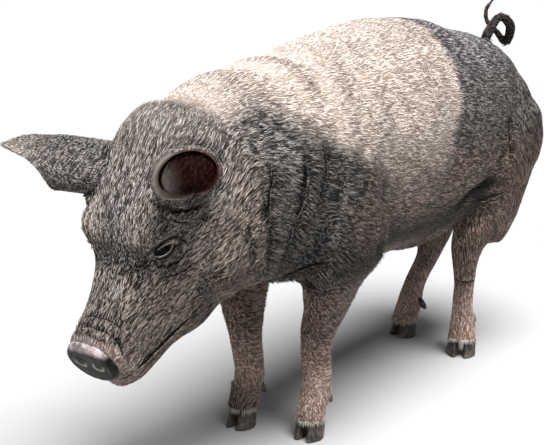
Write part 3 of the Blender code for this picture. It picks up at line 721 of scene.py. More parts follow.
class Regions:
    """What each place of the skin belongs to, and how its hair lies there."""

    def __init__(self, co, no):
        self.upward = no[:, 2]
        for name in ("ear", "ear_u", "ear_inner", "ear_front", "funnel", "funnel_front", "tail"):
            setattr(self, name, np.zeros(len(co)))
        self.part_lie = np.zeros((len(co), 3))
        for name in EARS:
            self.find_ear(name, co, no)
        self.find_tail(co)
        place, turn = nose_frame()
        x, y, z = ((co - np.array(place)) @ np.array(turn)).T
        self.disc_x, self.disc_y, self.nostril = x, y, nostril_off(x, y)
        oval = np.hypot(x / (NOSE_HALF_WIDTH + 0.0015), y / (NOSE_HALF_HEIGHT + 0.0015))
        level = z / NOSE_THICKNESS
        self.disc = np.where((oval < 1.03) & (level > -0.10) & (level < 1.2), ramp(level, -0.06, 0.06), 0)

    def raise_to(self, name, places, values):
        """Brings one of the shares up to the values given, where it is lower."""
        share = getattr(self, name)
        share[places] = np.maximum(share[places], values)

    def find_ear(self, name, co, no):
        us, ws = np.linspace(EAR_SUNK, 1, 42), np.linspace(-1, 1, 29)
        leaf = np.array([[ear_place(name, u, w) for w in ws] for u in us])
        near = np.flatnonzero(np.linalg.norm(co - leaf[21, 14], axis=1) < 0.14)
        index, distance = nearest(co[near], tree_of(leaf.reshape(-1, 3)))
        row, column = index // len(ws), index % len(ws)
        up = unit(leaf[np.minimum(row + 1, len(us) - 1), column] - leaf[np.maximum(row - 1, 0), column])
        over = unit(leaf[row, np.minimum(column + 1, len(ws) - 1)] - leaf[row, np.maximum(column - 1, 0)])
        _, along, opening, _ = (np.array(v) for v in ear_axis(name))
        facing = np.cross(leaf[24, 14] - leaf[21, 14], leaf[22, 16] - leaf[22, 12]) @ opening
        inner = along_rows(np.cross(up, over) * np.sign(facing), no[near])
        on_it = ramp(distance, 0.0085, 0.0060) * (row > 0)
        forward = ws[column] * (1 if name == "left" else -1)
        self.raise_to("ear", near, on_it)
        self.raise_to("ear_u", near, us[row] * (on_it > 0))
        self.raise_to("ear_inner", near, ramp(inner, -0.1, 0.4) * on_it)
        self.raise_to("ear_front", near, ramp(forward, -0.05, 0.55) * on_it)
        reach, front, off = in_funnel(co, name)
        floor = (reach > -0.10) & (reach < funnel_floor(front) + 0.006) & (off < 0.97) & (no @ along > 0.1)
        self.raise_to("funnel", slice(None), floor * ramp(off, 0.97, 0.90))
        self.raise_to("funnel_front", slice(None), floor * ramp(front, 0.12, 0.80))
        self.part_lie[near] += up * on_it[:, None]

    def find_tail(self, co):
        line = tail_line()
        low, high = line.min(axis=0) - 0.02, line.max(axis=0) + 0.02
        near = np.flatnonzero(np.all((co > low) & (co < high), axis=1))
        index, distance = nearest(co[near], tree_of(line))
        last = len(line) - 1
        on_it = ramp(distance, 0.020, 0.0155) * ramp(index / last, 0.03, 0.10)
        self.tail[near] = on_it
        step = unit(line[np.minimum(index + 1, last)] - line[np.maximum(index - 1, 0)])
        self.part_lie[near] += step * on_it[:, None]


def wander(co, size, seed):
    """Smooth noise between -1 and 1 that wanders over a given distance: a sum of turned waves."""
    draw = np.random.default_rng(seed)
    total = np.zeros(len(co))
    for _ in range(7):
        heading = draw.normal(size=3)
        heading /= np.linalg.norm(heading)
        total += np.sin(co @ heading * (2 * pi / size) * draw.uniform(0.6, 1.7) + draw.uniform(0, 2 * pi))
    return np.clip(total / 3.2, -1, 1)


def lie_of_coat(co, no, regions):
    """The direction in which the hair points, along the skin."""
    _, forward, height = pig_terms(co)
    _, up, _ = head_terms(co)
    rump = ramp(forward, -0.28, -0.46)
    leg = np.maximum(legness(co), rump * ramp(height, 0.55, 0.42))
    shoulder = ramp(forward, 0.14, 0.24) * ramp(height, 0.62, 0.48)
    fore = legness(co) * ramp(forward, 0.05, 0.12) * ramp(height, 0.08, 0.14)
    head, part = headness(co), np.maximum(regions.ear, regions.tail)
    lie = np.tile(np.array(way(0, -1.0, -0.20)), (len(co), 1))
    back_from_nose = -np.array(HEAD_ALONG) - np.outer(ramp(up, 0.06, -0.03) * 0.35, np.array(HEAD_UP))
    for direction, share in (
        (way(0, -0.45, -1.0), rump), (way(0, -0.80, -0.75), shoulder * 0.8), (way(0, -0.10, -1.0), leg),
        (way(0, -1.0, -0.42), fore * 0.9), (back_from_nose, head), (regions.part_lie, part),
    ):
        lie += (np.array(direction) - lie) * share[:, None]
    lie = unit(lie - no * along_rows(lie, no)[:, None])
    sway = (0.22 * wander(co, 0.075, 5) + 0.16 * wander(co, 0.030, 6)) * (1 - 0.3 * head) * (1 - 0.6 * part)
    return lie * np.cos(sway)[:, None] + np.cross(no, lie) * np.sin(sway)[:, None]


# -------------------- markings, with painted light and shade

# Each: the dark strands, the light strands. Where the two follow the strands' relief, the dark ones are also
# painted shade in the valleys and the light ones painted light on the crests.
COLOURS = {
    "cream": ((0.380, 0.298, 0.244), (0.900, 0.815, 0.750)),
    "slate": ((0.012, 0.011, 0.013), (0.520, 0.490, 0.500)),
    "charcoal": ((0.003, 0.003, 0.004), (0.310, 0.284, 0.258)),
    "grizzle": ((0.003, 0.003, 0.003), (0.450, 0.402, 0.374)),
    "umber": ((0.014, 0.009, 0.007), (0.510, 0.366, 0.298)),
    "pink": ((0.200, 0.135, 0.108), (0.960, 0.730, 0.620)),
    # painted shade: near black, laid under the body and in the hollow before the thigh
    "painted_deep_shade": ((0.003, 0.002, 0.002), (0.030, 0.022, 0.019)),
    "tail": ((0.006, 0.004, 0.004), (0.130, 0.100, 0.085)),
    "brow": ((0.060, 0.046, 0.038), (0.980, 0.820, 0.710)),
    "cheek": ((0.006, 0.004, 0.004), (0.660, 0.525, 0.440)),
    "ear_rim": ((0.060, 0.048, 0.042), (0.420, 0.350, 0.315)),
    "ear_hollow": ((0.070, 0.026, 0.022), (0.480, 0.210, 0.175)),
    # the ear's front wall: pale grey hair, made lighter still as painted light where it lies in shade
    "ear_front": ((0.400, 0.360, 0.325), (0.740, 0.680, 0.620)),
    "disc": ((0.003, 0.003, 0.003), (0.018, 0.019, 0.015)),
    # painted highlight: the disc's top rim lighter, as lit from above
    "lit_disc_top": ((0.130, 0.112, 0.108), (0.560, 0.470, 0.460)),
    # painted highlight on the nostrils' lower rims
    "nostril_rim_highlight": ((0.160, 0.155, 0.145), (0.500, 0.480, 0.450)),
    # painted shade: the insides of the nostrils near black
    "nostril": ((0.001, 0.001, 0.001), (0.004, 0.003, 0.003)),
    "snout_pink": ((0.150, 0.105, 0.092), (0.860, 0.690, 0.640)),
}


def shade_in_flank_hollow(left, forward, height):
    """Painted shade in the hollow before the thigh, on both sides."""
    off = np.hypot((forward + 0.262) / 0.060, (height - 0.414 + 0.10 * (forward + 0.262)) / 0.024)
    return ramp(off, 1.3, 0.5) * (np.abs(left) > 0.08)


def weights_of_markings(co, regions):
    """How much of each colour every place has; later ones lie over earlier ones."""
    left, forward, height = pig_terms(co)
    back, up, _ = head_terms(co)
    aside = np.abs(left)
    wave = 0.012 * wander(co, 0.09, 21) + 0.006 * wander(co, 0.03, 22)
    level, lift = height + wave, up + wave
    rear = np.interp(height, (0.37, 0.46, 0.56, 0.66, 0.73, 0.77),
                     (-0.035, -0.020, -0.056, -0.093, -0.089, -0.095))
    front = np.interp(height, (0.40, 0.46, 0.54, 0.60, 0.65, 0.69, 0.72),
                      (0.170, 0.176, 0.206, 0.303, 0.400, 0.470, 0.500))
    band = ramp(forward, rear - 0.016 + wave, rear + 0.016 + wave)
    band = band * ramp(forward, front + 0.055 + wave * 2, front - 0.055 + wave * 2)
    behind = ramp(forward, rear + 0.016 + wave, rear - 0.016 + wave)
    head, leg = headness(co), legness(co)
    trunk = (1 - leg) * (1 - head)
    # painted top light: the nape made cream only where it faces upward
    nape = ramp(regions.upward, 0.55, 0.92) * ramp(forward, 0.34, 0.44) * ramp(forward, 0.64, 0.54)
    speckles = ramp(wander(co, 0.014, 51), 0.45, 0.75) * ramp(wander(co, 0.11, 52), 0.0, 0.5)
    brow = ramp(np.hypot((back - 0.210) / 0.050, (up - 0.090) / 0.028), 1.3, 0.5) * ramp(aside, 0.02, 0.05)
    outer, inner = regions.ear * (1 - regions.ear_inner), regions.ear * regions.ear_inner
    along_ear, disc, disc_y = regions.ear_u, regions.disc, regions.disc_y
    return [
        ("charcoal", np.ones(len(co))),
        ("grizzle", ramp(forward, 0.36, 0.46) * (1 - head) * ramp(height, 0.42, 0.55) * 0.8),
        ("cream", band),
        ("cream", nape * 0.8),
        ("umber", ramp(level, 0.600, 0.42) * trunk * ramp(forward, 0.36, 0.24) * 0.9),
        ("umber", band * ramp(level, 0.70, 0.44) * 0.42),
        ("umber", band * speckles * 0.45),
        ("slate", behind * ramp(level, 0.52, 0.62)),
        ("umber", behind * ramp(level, 0.62, 0.52)),
        ("charcoal", behind * ramp(level, 0.72, 0.64) * ramp(level, 0.48, 0.56) * 0.8),
        # painted shade under the body, and in the hollow before the thigh
        ("painted_deep_shade", ramp(height, 0.45, 0.37) * (1 - leg)
         * ramp(forward, 0.36, 0.28) * ramp(forward, -0.32, -0.22)),
        ("painted_deep_shade", shade_in_flank_hollow(left, forward, height) * 0.85),
        ("grizzle", head * ramp(lift, -0.02, 0.04)),
        # painted top light: cream on the back of the head where it faces upward
        ("cream", head * ramp(back, 0.22, 0.34) * ramp(regions.upward, 0.30, 0.85) * 0.20),
        ("cheek", head * ramp(lift, 0.09, -0.02) * 0.75),
        ("brow", head * brow * 0.35),
        ("cheek", head * ramp(back, 0.17, 0.10) * ramp(aside, 0.020, 0.045) * 0.7),
        ("umber", leg * ramp(height, 0.42, 0.32)),
        ("pink", leg * ramp(level, 0.24, 0.10) * 0.85),
        ("tail", regions.tail),
        ("grizzle", outer),
        ("cream", outer * ramp(along_ear, 0.55, 0.95) * 0.5),
        ("ear_rim", inner * ramp(along_ear, 0.1, 0.8)),
        ("ear_hollow", inner * ramp(along_ear, 0.92, 0.62)),
        # painted light: the ear's front wall and the funnel's front lightened where they lie in shade
        ("ear_front", inner * regions.ear_front * ramp(along_ear, 0.06, 0.20)),
        ("ear_hollow", regions.funnel),
        ("ear_front", regions.funnel * regions.funnel_front),
        ("snout_pink", head * ramp(back, 0.040, 0.020) * ramp(back, -0.02, 0.0) * 0.7),
        ("disc", disc),
        # painted highlight on the disc's top rim and on the nostrils' lower rims, and painted shade in the
        # nostrils
        ("lit_disc_top", disc * ramp(disc_y + 0.10 * np.abs(regions.disc_x), 0.023, 0.034)),
        ("nostril_rim_highlight", disc * ramp(np.abs(regions.nostril - 1.35), 0.40, 0.12)
         * ramp(disc_y, 0.010, -0.006)),
        ("nostril", disc * ramp(regions.nostril, 1.15, 0.85)),
    ]


def coat_colours(co, regions):
    """The colours of the dark and the light strands at each place, with painted shade and light: darker low
    on the trunk and under the head, lighter low on the legs.
    """
    strands = np.zeros((2, len(co), 3))
    for name, weight in weights_of_markings(co, regions):
        strands += (np.array(COLOURS[name])[:, None] - strands) * np.clip(weight, 0, 1)[:, None]
    height, up = co[:, 2], head_terms(co)[1]
    leg, head = legness(co), headness(co)
    # painted shade: darker low on the trunk and under the head; painted light: lighter low on the legs
    shade = (1 - 0.26 * ramp(height, 0.68, 0.50) * (1 - leg) * (1 - head)
             - 0.20 * head * ramp(up, -0.02, -0.10) + 0.16 * leg * ramp(height, 0.26, 0.12))
    return strands * shade[:, None]


# -------------------- materials

def add_attribute(mesh, name, values):
    """One number or one colour for every vertex."""
    values = np.asarray(values, dtype=np.float32)
    if values.ndim == 1:
        mesh.attributes.new(name, "FLOAT", "POINT").data.foreach_set("value", values)
    else:
        rgba = np.hstack([values, np.ones((len(values), 1), dtype=np.float32)])
        mesh.attributes.new(name, "FLOAT_COLOR", "POINT").data.foreach_set("color", rgba.ravel())


def shares_of_lies(co, regions):
    """How far each place belongs to the rump, legs and head, for the heading of its strands."""
    _, forward, height = pig_terms(co)
    rump = ramp(forward, -0.28, -0.44) * (1 - regions.tail)
    fore = ramp(forward, 0.05, 0.12) * ramp(height, 0.08, 0.14)
    legs = np.maximum(legness(co) * (1 - fore), rump * ramp(height, 0.52, 0.42))
    return {"on_rump": rump, "on_legs": legs, "on_head": np.maximum(headness(co), regions.ear)}


def paint_skin(obj, lines):
    """Writes the markings, the painted shade in the folds and round the lids, and the bare parts of the skin
    as attributes.
    """
    co = positions(obj)
    regions = Regions(co, normals(obj))
    dark, light = coat_colours(co, regions)
    lids, line = around_slit(co)
    # painted shade in the creases and in the line round the lids
    regions.fold = np.maximum(painted_shade_of_creases(co, lines), line)
    hollow = regions.ear * regions.ear_inner * ramp(regions.ear_u, 0.9, 0.5)
    painted = {"dark_strands_and_valley_shade": dark, "light_strands_and_lit_crests": light, "fold": regions.fold, "lid": lids,
               "bare": np.clip(regions.disc + 0.5 * hollow, 0, 1), **shares_of_lies(co, regions)}
    for name, values in painted.items():
        add_attribute(obj.data, name, values)
    return regions


class Wiring:
    """Short ways to lay out a material's nodes."""

    def __init__(self, tree):
        self.tree, self.place = tree, 0

    def fill(self, node, sockets):
        """Joins each of a node's inputs to a socket, or sets it to a value."""
        for name, item in sockets.items():
            socket = node.inputs[name]
            if isinstance(item, bpy.types.NodeSocket):
                self.tree.links.new(item, socket)
            else:
                socket.default_value = (*item, 1) if socket.type == "RGBA" else item

    def node(self, kind, sockets=None, **settings):
        node = self.tree.nodes.new(kind)
        node.location = (self.place, 0)
        self.place += 180
        for name, value in settings.items():
            setattr(node, name, value)
        self.fill(node, sockets or {})
        return node

    def sum(self, operation, a, b):
        return self.node("ShaderNodeMath", {0: a, 1: b}, operation=operation).outputs[0]

    def times(self, a, b):
        return self.sum("MULTIPLY", a, b)

    def plus(self, a, b):
        return self.sum("ADD", a, b)

    def minus(self, a, b):
        return self.sum("SUBTRACT", a, b)

    def shift(self, operation, sockets):
        return self.node("ShaderNodeVectorMath", sockets, operation=operation).outputs[0]

    def mix(self, share, a, b):
        return self.node("ShaderNodeMix", {"Factor": share, 6: a, 7: b}, data_type="RGBA").outputs[2]

    def attribute(self, name, output="Fac"):
        return self.node("ShaderNodeAttribute", attribute_name=name).outputs[output]

    def where(self):
        return self.node("ShaderNodeTexCoord").outputs["Object"]

    def noise(self, where, scale, detail=3.0, output="Fac", **more):
        sockets = {"Vector": where, "Scale": scale, "Detail": detail, **more}
        return self.node("ShaderNodeTexNoise", sockets).outputs[output]

    def stretched(self, where, stretch):
        return self.node("ShaderNodeMapping", {"Vector": where, "Scale": stretch}).outputs[0]

    def ramp(self, value, low, high):
        return self.node("ShaderNodeMapRange", {"Value": value, "From Min": low, "From Max": high},
                         interpolation_type="SMOOTHSTEP").outputs["Result"]

    def bump(self, height, distance, strength, **more):
        sockets = {"Height": height, "Distance": distance, "Strength": strength, **more}
        return self.node("ShaderNodeBump", sockets).outputs["Normal"]

    def group(self, tree, sockets):
        return self.node("ShaderNodeGroup", sockets, node_tree=tree).outputs[0]


def new_material(name):
    material = bpy.data.materials.new(name)
    material.use_nodes = True
    return material, Wiring(material.node_tree), material.node_tree.nodes["Principled BSDF"]


def new_group(name, inputs, output, kind):
    """A group with its inputs, each of a kind, and its one output."""
    group = bpy.data.node_groups.new(name, "ShaderNodeTree")
    for label, of_kind in inputs.items():
        group.interface.new_socket(label, in_out="INPUT", socket_type="NodeSocket" + of_kind)
    group.interface.new_socket(output, in_out="OUTPUT", socket_type="NodeSocket" + kind)
    w = Wiring(group)
    return group, w, w.node("NodeGroupInput").outputs, w.node("NodeGroupOutput")


def make_mottle_group():
    """Soft mottling of a colour, larger and smaller."""
    group, w, given, out = new_group(
        "mottle", {"Colour": "Color", "Size": "Float", "Amount": "Float"}, "Colour", "Color")
    noise = w.noise(w.where(), given["Size"], 5)
    lift = w.plus(1.0, w.times(w.minus(noise, 0.5), given["Amount"]))
    w.fill(out, {"Colour": w.shift("SCALE", {0: given["Colour"], "Scale": lift})})
    return group


# The turn that lays the strands along the trunk, down the legs, along the head, and down the rump, and how
# many there are to a metre across them.
STRANDS = {
    "on_trunk": ((0, radians(10), radians(90)), 290),
    "on_legs": ((0, radians(84), radians(90)), 380),
    "on_head": ((0, radians(46), radians(-90)), 360),
    "on_rump": ((0, radians(58), radians(90)), 310),
}
PARTS = ("on_rump", "on_legs", "on_head")
STRAND_STRETCH, STRAND_SWAY = 9, 0.016


def make_strand_group():
    """Wavy strands that lie along one heading, raised and sunk, for one part of the body."""
    group, w, given, out = new_group("strands", {"Turn": "Vector", "Across": "Float"}, "Height", "Float")
    where = w.where()
    wave = w.shift("SUBTRACT", {0: w.noise(where, 34, 2, "Color"), 1: (0.5, 0.5, 0.5)})
    bent = w.shift("MULTIPLY_ADD", {0: wave, 1: (STRAND_SWAY,) * 3, 2: where})
    turned = w.node("ShaderNodeMapping", {"Scale": (STRAND_STRETCH, 1, 1), "Vector": bent,
                                          "Rotation": given["Turn"]}, vector_type="TEXTURE").outputs[0]
    w.fill(out, {"Height": w.noise(turned, given["Across"], 0.8, Roughness=0.5)})
    return group


def make_streak_group(strands):
    """The strands of every part of the body, each where its share says."""
    group, w, given, out = new_group("streaks", {part: "Float" for part in PARTS}, "Height", "Float")
    heights = {part: w.group(strands, {"Turn": turn, "Across": across})
               for part, (turn, across) in STRANDS.items()}
    total = heights["on_trunk"]
    for part in PARTS:
        total = w.plus(w.times(total, w.minus(1.0, given[part])), w.times(heights[part], given[part]))
    w.fill(out, {"Height": total})
    return group


MOTTLE = make_mottle_group()
STREAKS = make_streak_group(make_strand_group())


def streaks(w):
    return w.group(STREAKS, {part: w.attribute(part) for part in PARTS})


def mottled_strands(w, share):
    """The dark and the light strands, mixed and mottled; where mixed by the strands' relief, the mix is
    painted shade in the valleys and painted light on the crests.
    """
    colour = w.mix(share, w.attribute("dark_strands_and_valley_shade", "Color"), w.attribute("light_strands_and_lit_crests", "Color"))
    return w.group(MOTTLE, {"Colour": colour, "Size": 14, "Amount": 0.5})


def make_skin_material():
    material, w, shader = new_material("bristly_skin")
    where, relief, bare = w.where(), streaks(w), w.attribute("bare")
    furred = w.minus(1.0, bare)
    # painted shade: on furred skin the light strands are held to a small share, so that the skin shows dark
    # between the tufts as shade
    streak = w.times(w.ramp(relief, 0.46, 0.60), 0.30)
    bare_look = w.ramp(w.noise(where, 85, 4.0), 0.3, 0.7)
    colour = mottled_strands(w, w.plus(w.times(streak, furred), w.times(bare_look, bare)))
    # painted shade: near black in the creases and round the lids
    colour = w.mix(w.times(w.attribute("fold"), 0.70), colour, (0.008, 0.006, 0.006))
    colour = w.mix(w.times(w.attribute("lid"), 0.9), colour, (0.60, 0.52, 0.46))
    strands = w.bump(w.times(relief, furred), 0.0060, 1.0)
    w.fill(shader, {
        "Base Color": colour,
        "Roughness": w.minus(0.60, w.times(bare, 0.22)),
        "Normal": w.bump(w.noise(where, 620, 2.0), 0.0004, 0.7, Normal=strands),
        "Specular IOR Level": w.minus(0.16, w.times(bare, 0.06)),
    })
    return material


def make_bristle_material():
    material, w, shader = new_material("bristles")
    relief = streaks(w)
    # painted light and shade: light on the strands' crests, dark in their valleys
    streak = w.plus(w.times(w.ramp(relief, 0.45, 0.55), 0.74), 0.26)
    colour = mottled_strands(w, w.times(streak, w.attribute("tone")))
    w.fill(shader, {
        # painted shade: near black in the creases
        "Base Color": w.mix(w.times(w.attribute("fold"), 0.92), colour, (0.004, 0.003, 0.003)),
        "Normal": w.bump(relief, 0.0020, 0.6),
        "Roughness": 0.52,
        "Specular IOR Level": 0.16,
    })
    return material


def make_hair_material():
    material, w, shader = new_material("long_hairs")
    w.fill(shader, {"Base Color": w.attribute("strand_colour", "Color"), "Roughness": 0.45})
    return material


HAIR_MATERIAL = make_hair_material()
SKIN_MATERIAL = make_skin_material()
BRISTLE_MATERIAL = make_bristle_material()


# -------------------- coat

# A tuft's triangles, between its root (0), its two edges (1 and 2), its ridge (3) and its tip (4).
TUFT_LINKS = np.array([(0, 2, 3), (0, 3, 1), (2, 4, 3), (3, 4, 1), (0, 1, 4), (0, 4, 2)])
TUFT_POINTS = 5
TUFT_MIDDLE = 0.38  # how far along a tuft its two edges and its ridge lie
# The patch of the unwrapped skin that a tuft's five points are spread over.
PATCH = 0.003
PATCH_SPOTS = np.array([(-0.5, 0), (-0.1, 0.4), (-0.1, -0.4), (0, 0), (0.5, 0)]) * PATCH


def shared_out(share, values):
    """A value for each root, from those of its triangle's three corners."""
    return np.einsum("ij,ij...->i...", share, values)


def scatter(obj, density):
    """Roots spread over the skin, so many to a square metre as density gives for each corner."""
    mesh = obj.data
    mesh.calc_loop_triangles()
    corners = read(mesh.loop_triangles, "vertices", 3, np.int32)
    loops = read(mesh.loop_triangles, "loops", 3, np.int32)
    a, b, c = (positions(obj)[corners[:, k]] for k in range(3))
    area = np.linalg.norm(np.cross(b - a, c - a), axis=1) / 2
    ends = np.cumsum(area * density[corners].mean(axis=1))
    count = int(ends[-1])
    chosen = np.searchsorted(ends, (np.arange(count) + rng.random(count)) * (ends[-1] / count))
    chosen = np.minimum(chosen, len(area) - 1)
    u, v = rng.random(count), rng.random(count)
    flip = u + v > 1
    u, v = np.where(flip, 1 - u, u), np.where(flip, 1 - v, v)
    return np.stack([1 - u - v, u, v], axis=1), corners[chosen], loops[chosen]


def build_tufts(name, slot, root, outward, lie, length, width, lift, looks, uv):
    """Joins thin closed leaves into one mesh. Each has a root, two edges, a ridge and a free tip."""
    count = len(root)
    over = np.cross(outward, lie)
    length, width, lift = length[:, None], width[:, None], lift[:, None]
    middle = root + lie * length * TUFT_MIDDLE + outward * lift * 0.35
    co = np.stack([
        root - outward * 0.0006,
        middle + over * width / 2,
        middle - over * width / 2,
        middle + outward * width * 0.30,
        root + lie * length + outward * lift,
    ], axis=1).reshape(-1, 3)
    faces = (TUFT_LINKS[None] + (np.arange(count) * TUFT_POINTS)[:, None, None]).reshape(-1, 3)
    mesh = bpy.data.meshes.new(name)
    mesh.vertices.add(len(co))
    mesh.vertices.foreach_set("co", co.astype(np.float32).ravel())
    mesh.loops.add(len(faces) * 3)
    mesh.loops.foreach_set("vertex_index", faces.ravel().astype(np.int32))
    mesh.polygons.add(len(faces))
    mesh.polygons.foreach_set("loop_start", np.arange(0, len(faces) * 3, 3, dtype=np.int32))
    mesh.update(calc_edges=True)
    mesh.validate()
    for label, values in looks.items():
        along_tuft = values.shape[-1] == TUFT_POINTS
        add_attribute(mesh, label, values.ravel() if along_tuft else np.repeat(values, TUFT_POINTS, axis=0))
    spread = (uv[:, None, :] + PATCH_SPOTS[None]).reshape(-1, 2)[faces.ravel()]
    mesh.uv_layers.new(name="OFBake").data.foreach_set("uv", spread.astype(np.float32).ravel())
    finish_piece(linked(name, mesh), BRISTLE_MATERIAL, slot)


# How light a tuft is at its root, its two edges, its ridge and its tip, commonly and in the even pale coat:
# painted shade at the root and edges and painted light on the ridge.
TUFT_SHADING = (0.20, 0.52, 0.52, 1.15, 1.00)
EVEN_SHADING = (0.70, 0.80, 0.80, 1.05, 1.00)
COAT_PIECES = ("coat_hindquarters", "coat_loin", "coat_ribs", "coat_shoulders", "coat_neck", "coat_head")
PALE_PIECES = ("coat_loin", "coat_ribs")
# Only folds narrower and longer than these have painted shade and painted lit lips drawn along them in
# bristles.
WIDEST_DRAWN, SHORTEST_DRAWN = 0.0070, 0.008


def blend(values, targets, share):
    return [a + (b - a) * share for a, b in zip(values, targets)]


def sizes_of_tufts(co, regions):
    """Length, width, lift and number to a square metre of the tufts at each place."""
    _, forward, height = pig_terms(co)
    back, up, side = head_terms(co)
    low_leg = legness(co) * ramp(height, 0.36, 0.16)
    low_ham = ramp(forward, -0.30, -0.42) * ramp(height, 0.50, 0.42)
    face, muzzle = ramp(back, 0.30, 0.16), ramp(back, 0.14, 0.05)
    on_body = (0.0300 - 0.0185 * low_leg - 0.0120 * low_ham, 0.0025 - 0.0009 * low_leg,
               0.00060 - 0.00028 * low_leg, 36000 + 26000 * low_leg)
    on_head = (0.0230 - 0.0060 * face - 0.0070 * muzzle, 0.0020 - 0.0004 * face - 0.0005 * muzzle,
               0.00055 - 0.0001 * face - 0.0001 * muzzle, 42000 + 18000 * face + 26000 * muzzle)
    on_part = (0.011, 0.0017, 0.0010, 110000)
    sizes = blend(on_body, on_head, headness(co))
    length, width, lift, number = blend(sizes, on_part, np.maximum(regions.ear, regions.tail))
    near_eye = np.zeros(len(co))
    for eye in EYES:
        off, before = eye.from_slit(co)
        near_eye = np.maximum(near_eye, ramp(off, 0.020, 0.0080) * before)
    muzzle_tip = headness(co) * ramp(back, 0.022, 0.012) * (np.abs(side) < 0.06) * (up > -0.05)
    bare = np.max([regions.disc, regions.funnel, regions.ear * regions.ear_inner, ramp(near_eye, 0.80, 1.0),
                   ramp(regions.fold, 0.3, 0.8) * 0.9, muzzle_tip], axis=0)
    return (length * (1 - 0.75 * near_eye), width * 0.80, lift * (1 - 0.6 * near_eye) * 0.90,
            number * 1.55 * (1 + 2.0 * near_eye) * (1 - bare))


def make_coat(obj, regions, lines):
    """Covers the skin with tufts, in pieces from tail to snout."""
    co, no = positions(obj), normals(obj)
    length, width, lift, number = sizes_of_tufts(co, regions)
    dark, light = coat_colours(co, regions)
    elsewhere = (1 - headness(co)) * (1 - legness(co))
    share, corners, loops = scatter(obj, number * (1))

    def carried(values):
        return shared_out(share, values[corners])

    root, outward, count = carried(co), unit(carried(no)), len(share)
    turn = rng.normal(0, 0.07, count) + 0.30 * wander(root, 0.024, 41)
    turn = (turn * carried(1 - 0.55 * elsewhere))[:, None]
    direction = carried(lie_of_coat(co, no, regions))
    direction = unit(direction - outward * along_rows(direction, outward)[:, None])
    direction = direction * np.cos(turn) + np.cross(outward, direction) * np.sin(turn)
    tone = ramp(rng.random(count) + 0.05 * wander(root, 0.020, 31), 0.05, 0.60) * 0.80 + 0.20
    even = carried(ramp(light[:, 0], 0.55, 0.80) * elsewhere)
    tone += (0.62 - tone) * 0.45 * even
    # painted shade at each tuft's root and edges, painted light on its ridge
    shading_along_tuft = np.outer(1 - even, TUFT_SHADING) + np.outer(even, EVEN_SHADING)
    looks = {"tone": np.clip(tone[:, None] * shading_along_tuft, 0, 1), "fold": np.zeros((count, TUFT_POINTS)),
             "dark_strands_and_valley_shade": carried(dark), "light_strands_and_lit_crests": carried(light)}
    looks.update({label: carried(values) for label, values in shares_of_lies(co, regions).items()})
    long_ones = rng.random(count) > 0.95
    lengths = carried(length) * rng.uniform(0.75, 1.25, count)
    lifts = carried(lift) * (0.4 + 0.7 * rng.random(count) + 1.2 * long_ones)
    widths = carried(width) * rng.uniform(0.75, 1.2, count)

    def shade_at(reached):
        return painted_shade_of_creases(root + direction * (lengths * reached)[:, None], lines)

    # a tuft that would cross a crease stops short of it
    for reached in (1.0, 0.8, 0.6, 0.4, 0.2):
        lengths = np.where(shade_at(reached) > 0.45, lengths * (reached - 0.12), lengths)
    # painted shade of the creases on each tuft's root, middle and tip
    for reached, points in ((0.0, (0,)), (TUFT_MIDDLE, (1, 2, 3)), (1.0, (4,))):
        looks["fold"][:, points] = shade_at(reached)[:, None] * 0.75
    uv = shared_out(share, unwrapped(obj)[loops])
    order = np.argsort(pig_terms(root)[1], kind="stable")
    for name, part in zip(COAT_PIECES, np.array_split(order, len(COAT_PIECES))):
        build_tufts(name, "pale_coat" if name in PALE_PIECES else "dark_coat", root[part], outward[part],
                    direction[part], lengths[part], widths[part], lifts[part],
                    {label: values[part] for label, values in looks.items()}, uv[part])


# The fold that runs forward and down from an eye's inner corner: along the slit and across it.
TEAR_LINE = [(-0.0005, 0.0), (-0.0020, -0.0060), (-0.0087, -0.0100), (-0.0196, -0.0113), (-0.0290, -0.0075)]


def lid_shade_lines():
    """The lines round each eye's lids and down from its inner corner, along which painted shade and painted
    lit lips are drawn.
    """
    lines = []
    x = np.linspace(-1.12, 1.12, 15) * SLIT_HALF_LENGTH
    for eye in EYES:
        for edge, shift in zip(slit_edges(x), (0.0066, -0.0062)):
            y = edge + shift * np.cos(x / SLIT_HALF_LENGTH * 1.1)
            lines.append([eye.surface + eye.along * a + eye.across * b for a, b in zip(x, y)])
        lines.append([eye.surface + eye.along * (a - SLIT_HALF_LENGTH) + eye.across * b
                      for a, b in TEAR_LINE])
    return lines


def bristles_along(line, width, strength, is_lit_lip, no, tree):
    """The roots, headings, lengths and widths of the bristles along one side of a fold: near black for
    painted shade in its bottom, pale for painted light on its lower lip.
    """
    line = np.array(line)
    along = np.concatenate([[0], np.cumsum(np.linalg.norm(np.diff(line, axis=0), axis=1))])
    spaces = np.arange(0, along[-1], 0.0022 if is_lit_lip else 0.0011)

    def spots(shift):
        return np.stack([np.interp(spaces + shift, along, line[:, k]) for k in range(3)], axis=1)

    tangent = unit(spots(0.004) - spots(-0.004))
    near_end = np.minimum(spaces, along[-1] - spaces) / along[-1]
    thin = (0.25 + 0.75 * ramp(near_end, 0.0, 0.22)) * strength ** 0.5
    over = np.cross(no[nearest(spots(0), tree)[0]], tangent)
    over *= np.where(over[:, 2] > 0, -1, 1)[:, None]
    if is_lit_lip:
        across = width + 0.0016 + rng.uniform(-0.4, 0.4, len(spaces)) * width
    else:
        across = rng.uniform(-0.8, 0.8, len(spaces)) * width * thin
    lengths = (0.0075 + 0.004 * rng.random(len(spaces))) * (0.6 + 0.4 * thin)
    widths = (width * (0.9 if is_lit_lip else 1.0) + 0.0004) * thin
    return spots(0) + over * across[:, None], tangent, lengths, widths, np.full(len(spaces), is_lit_lip)


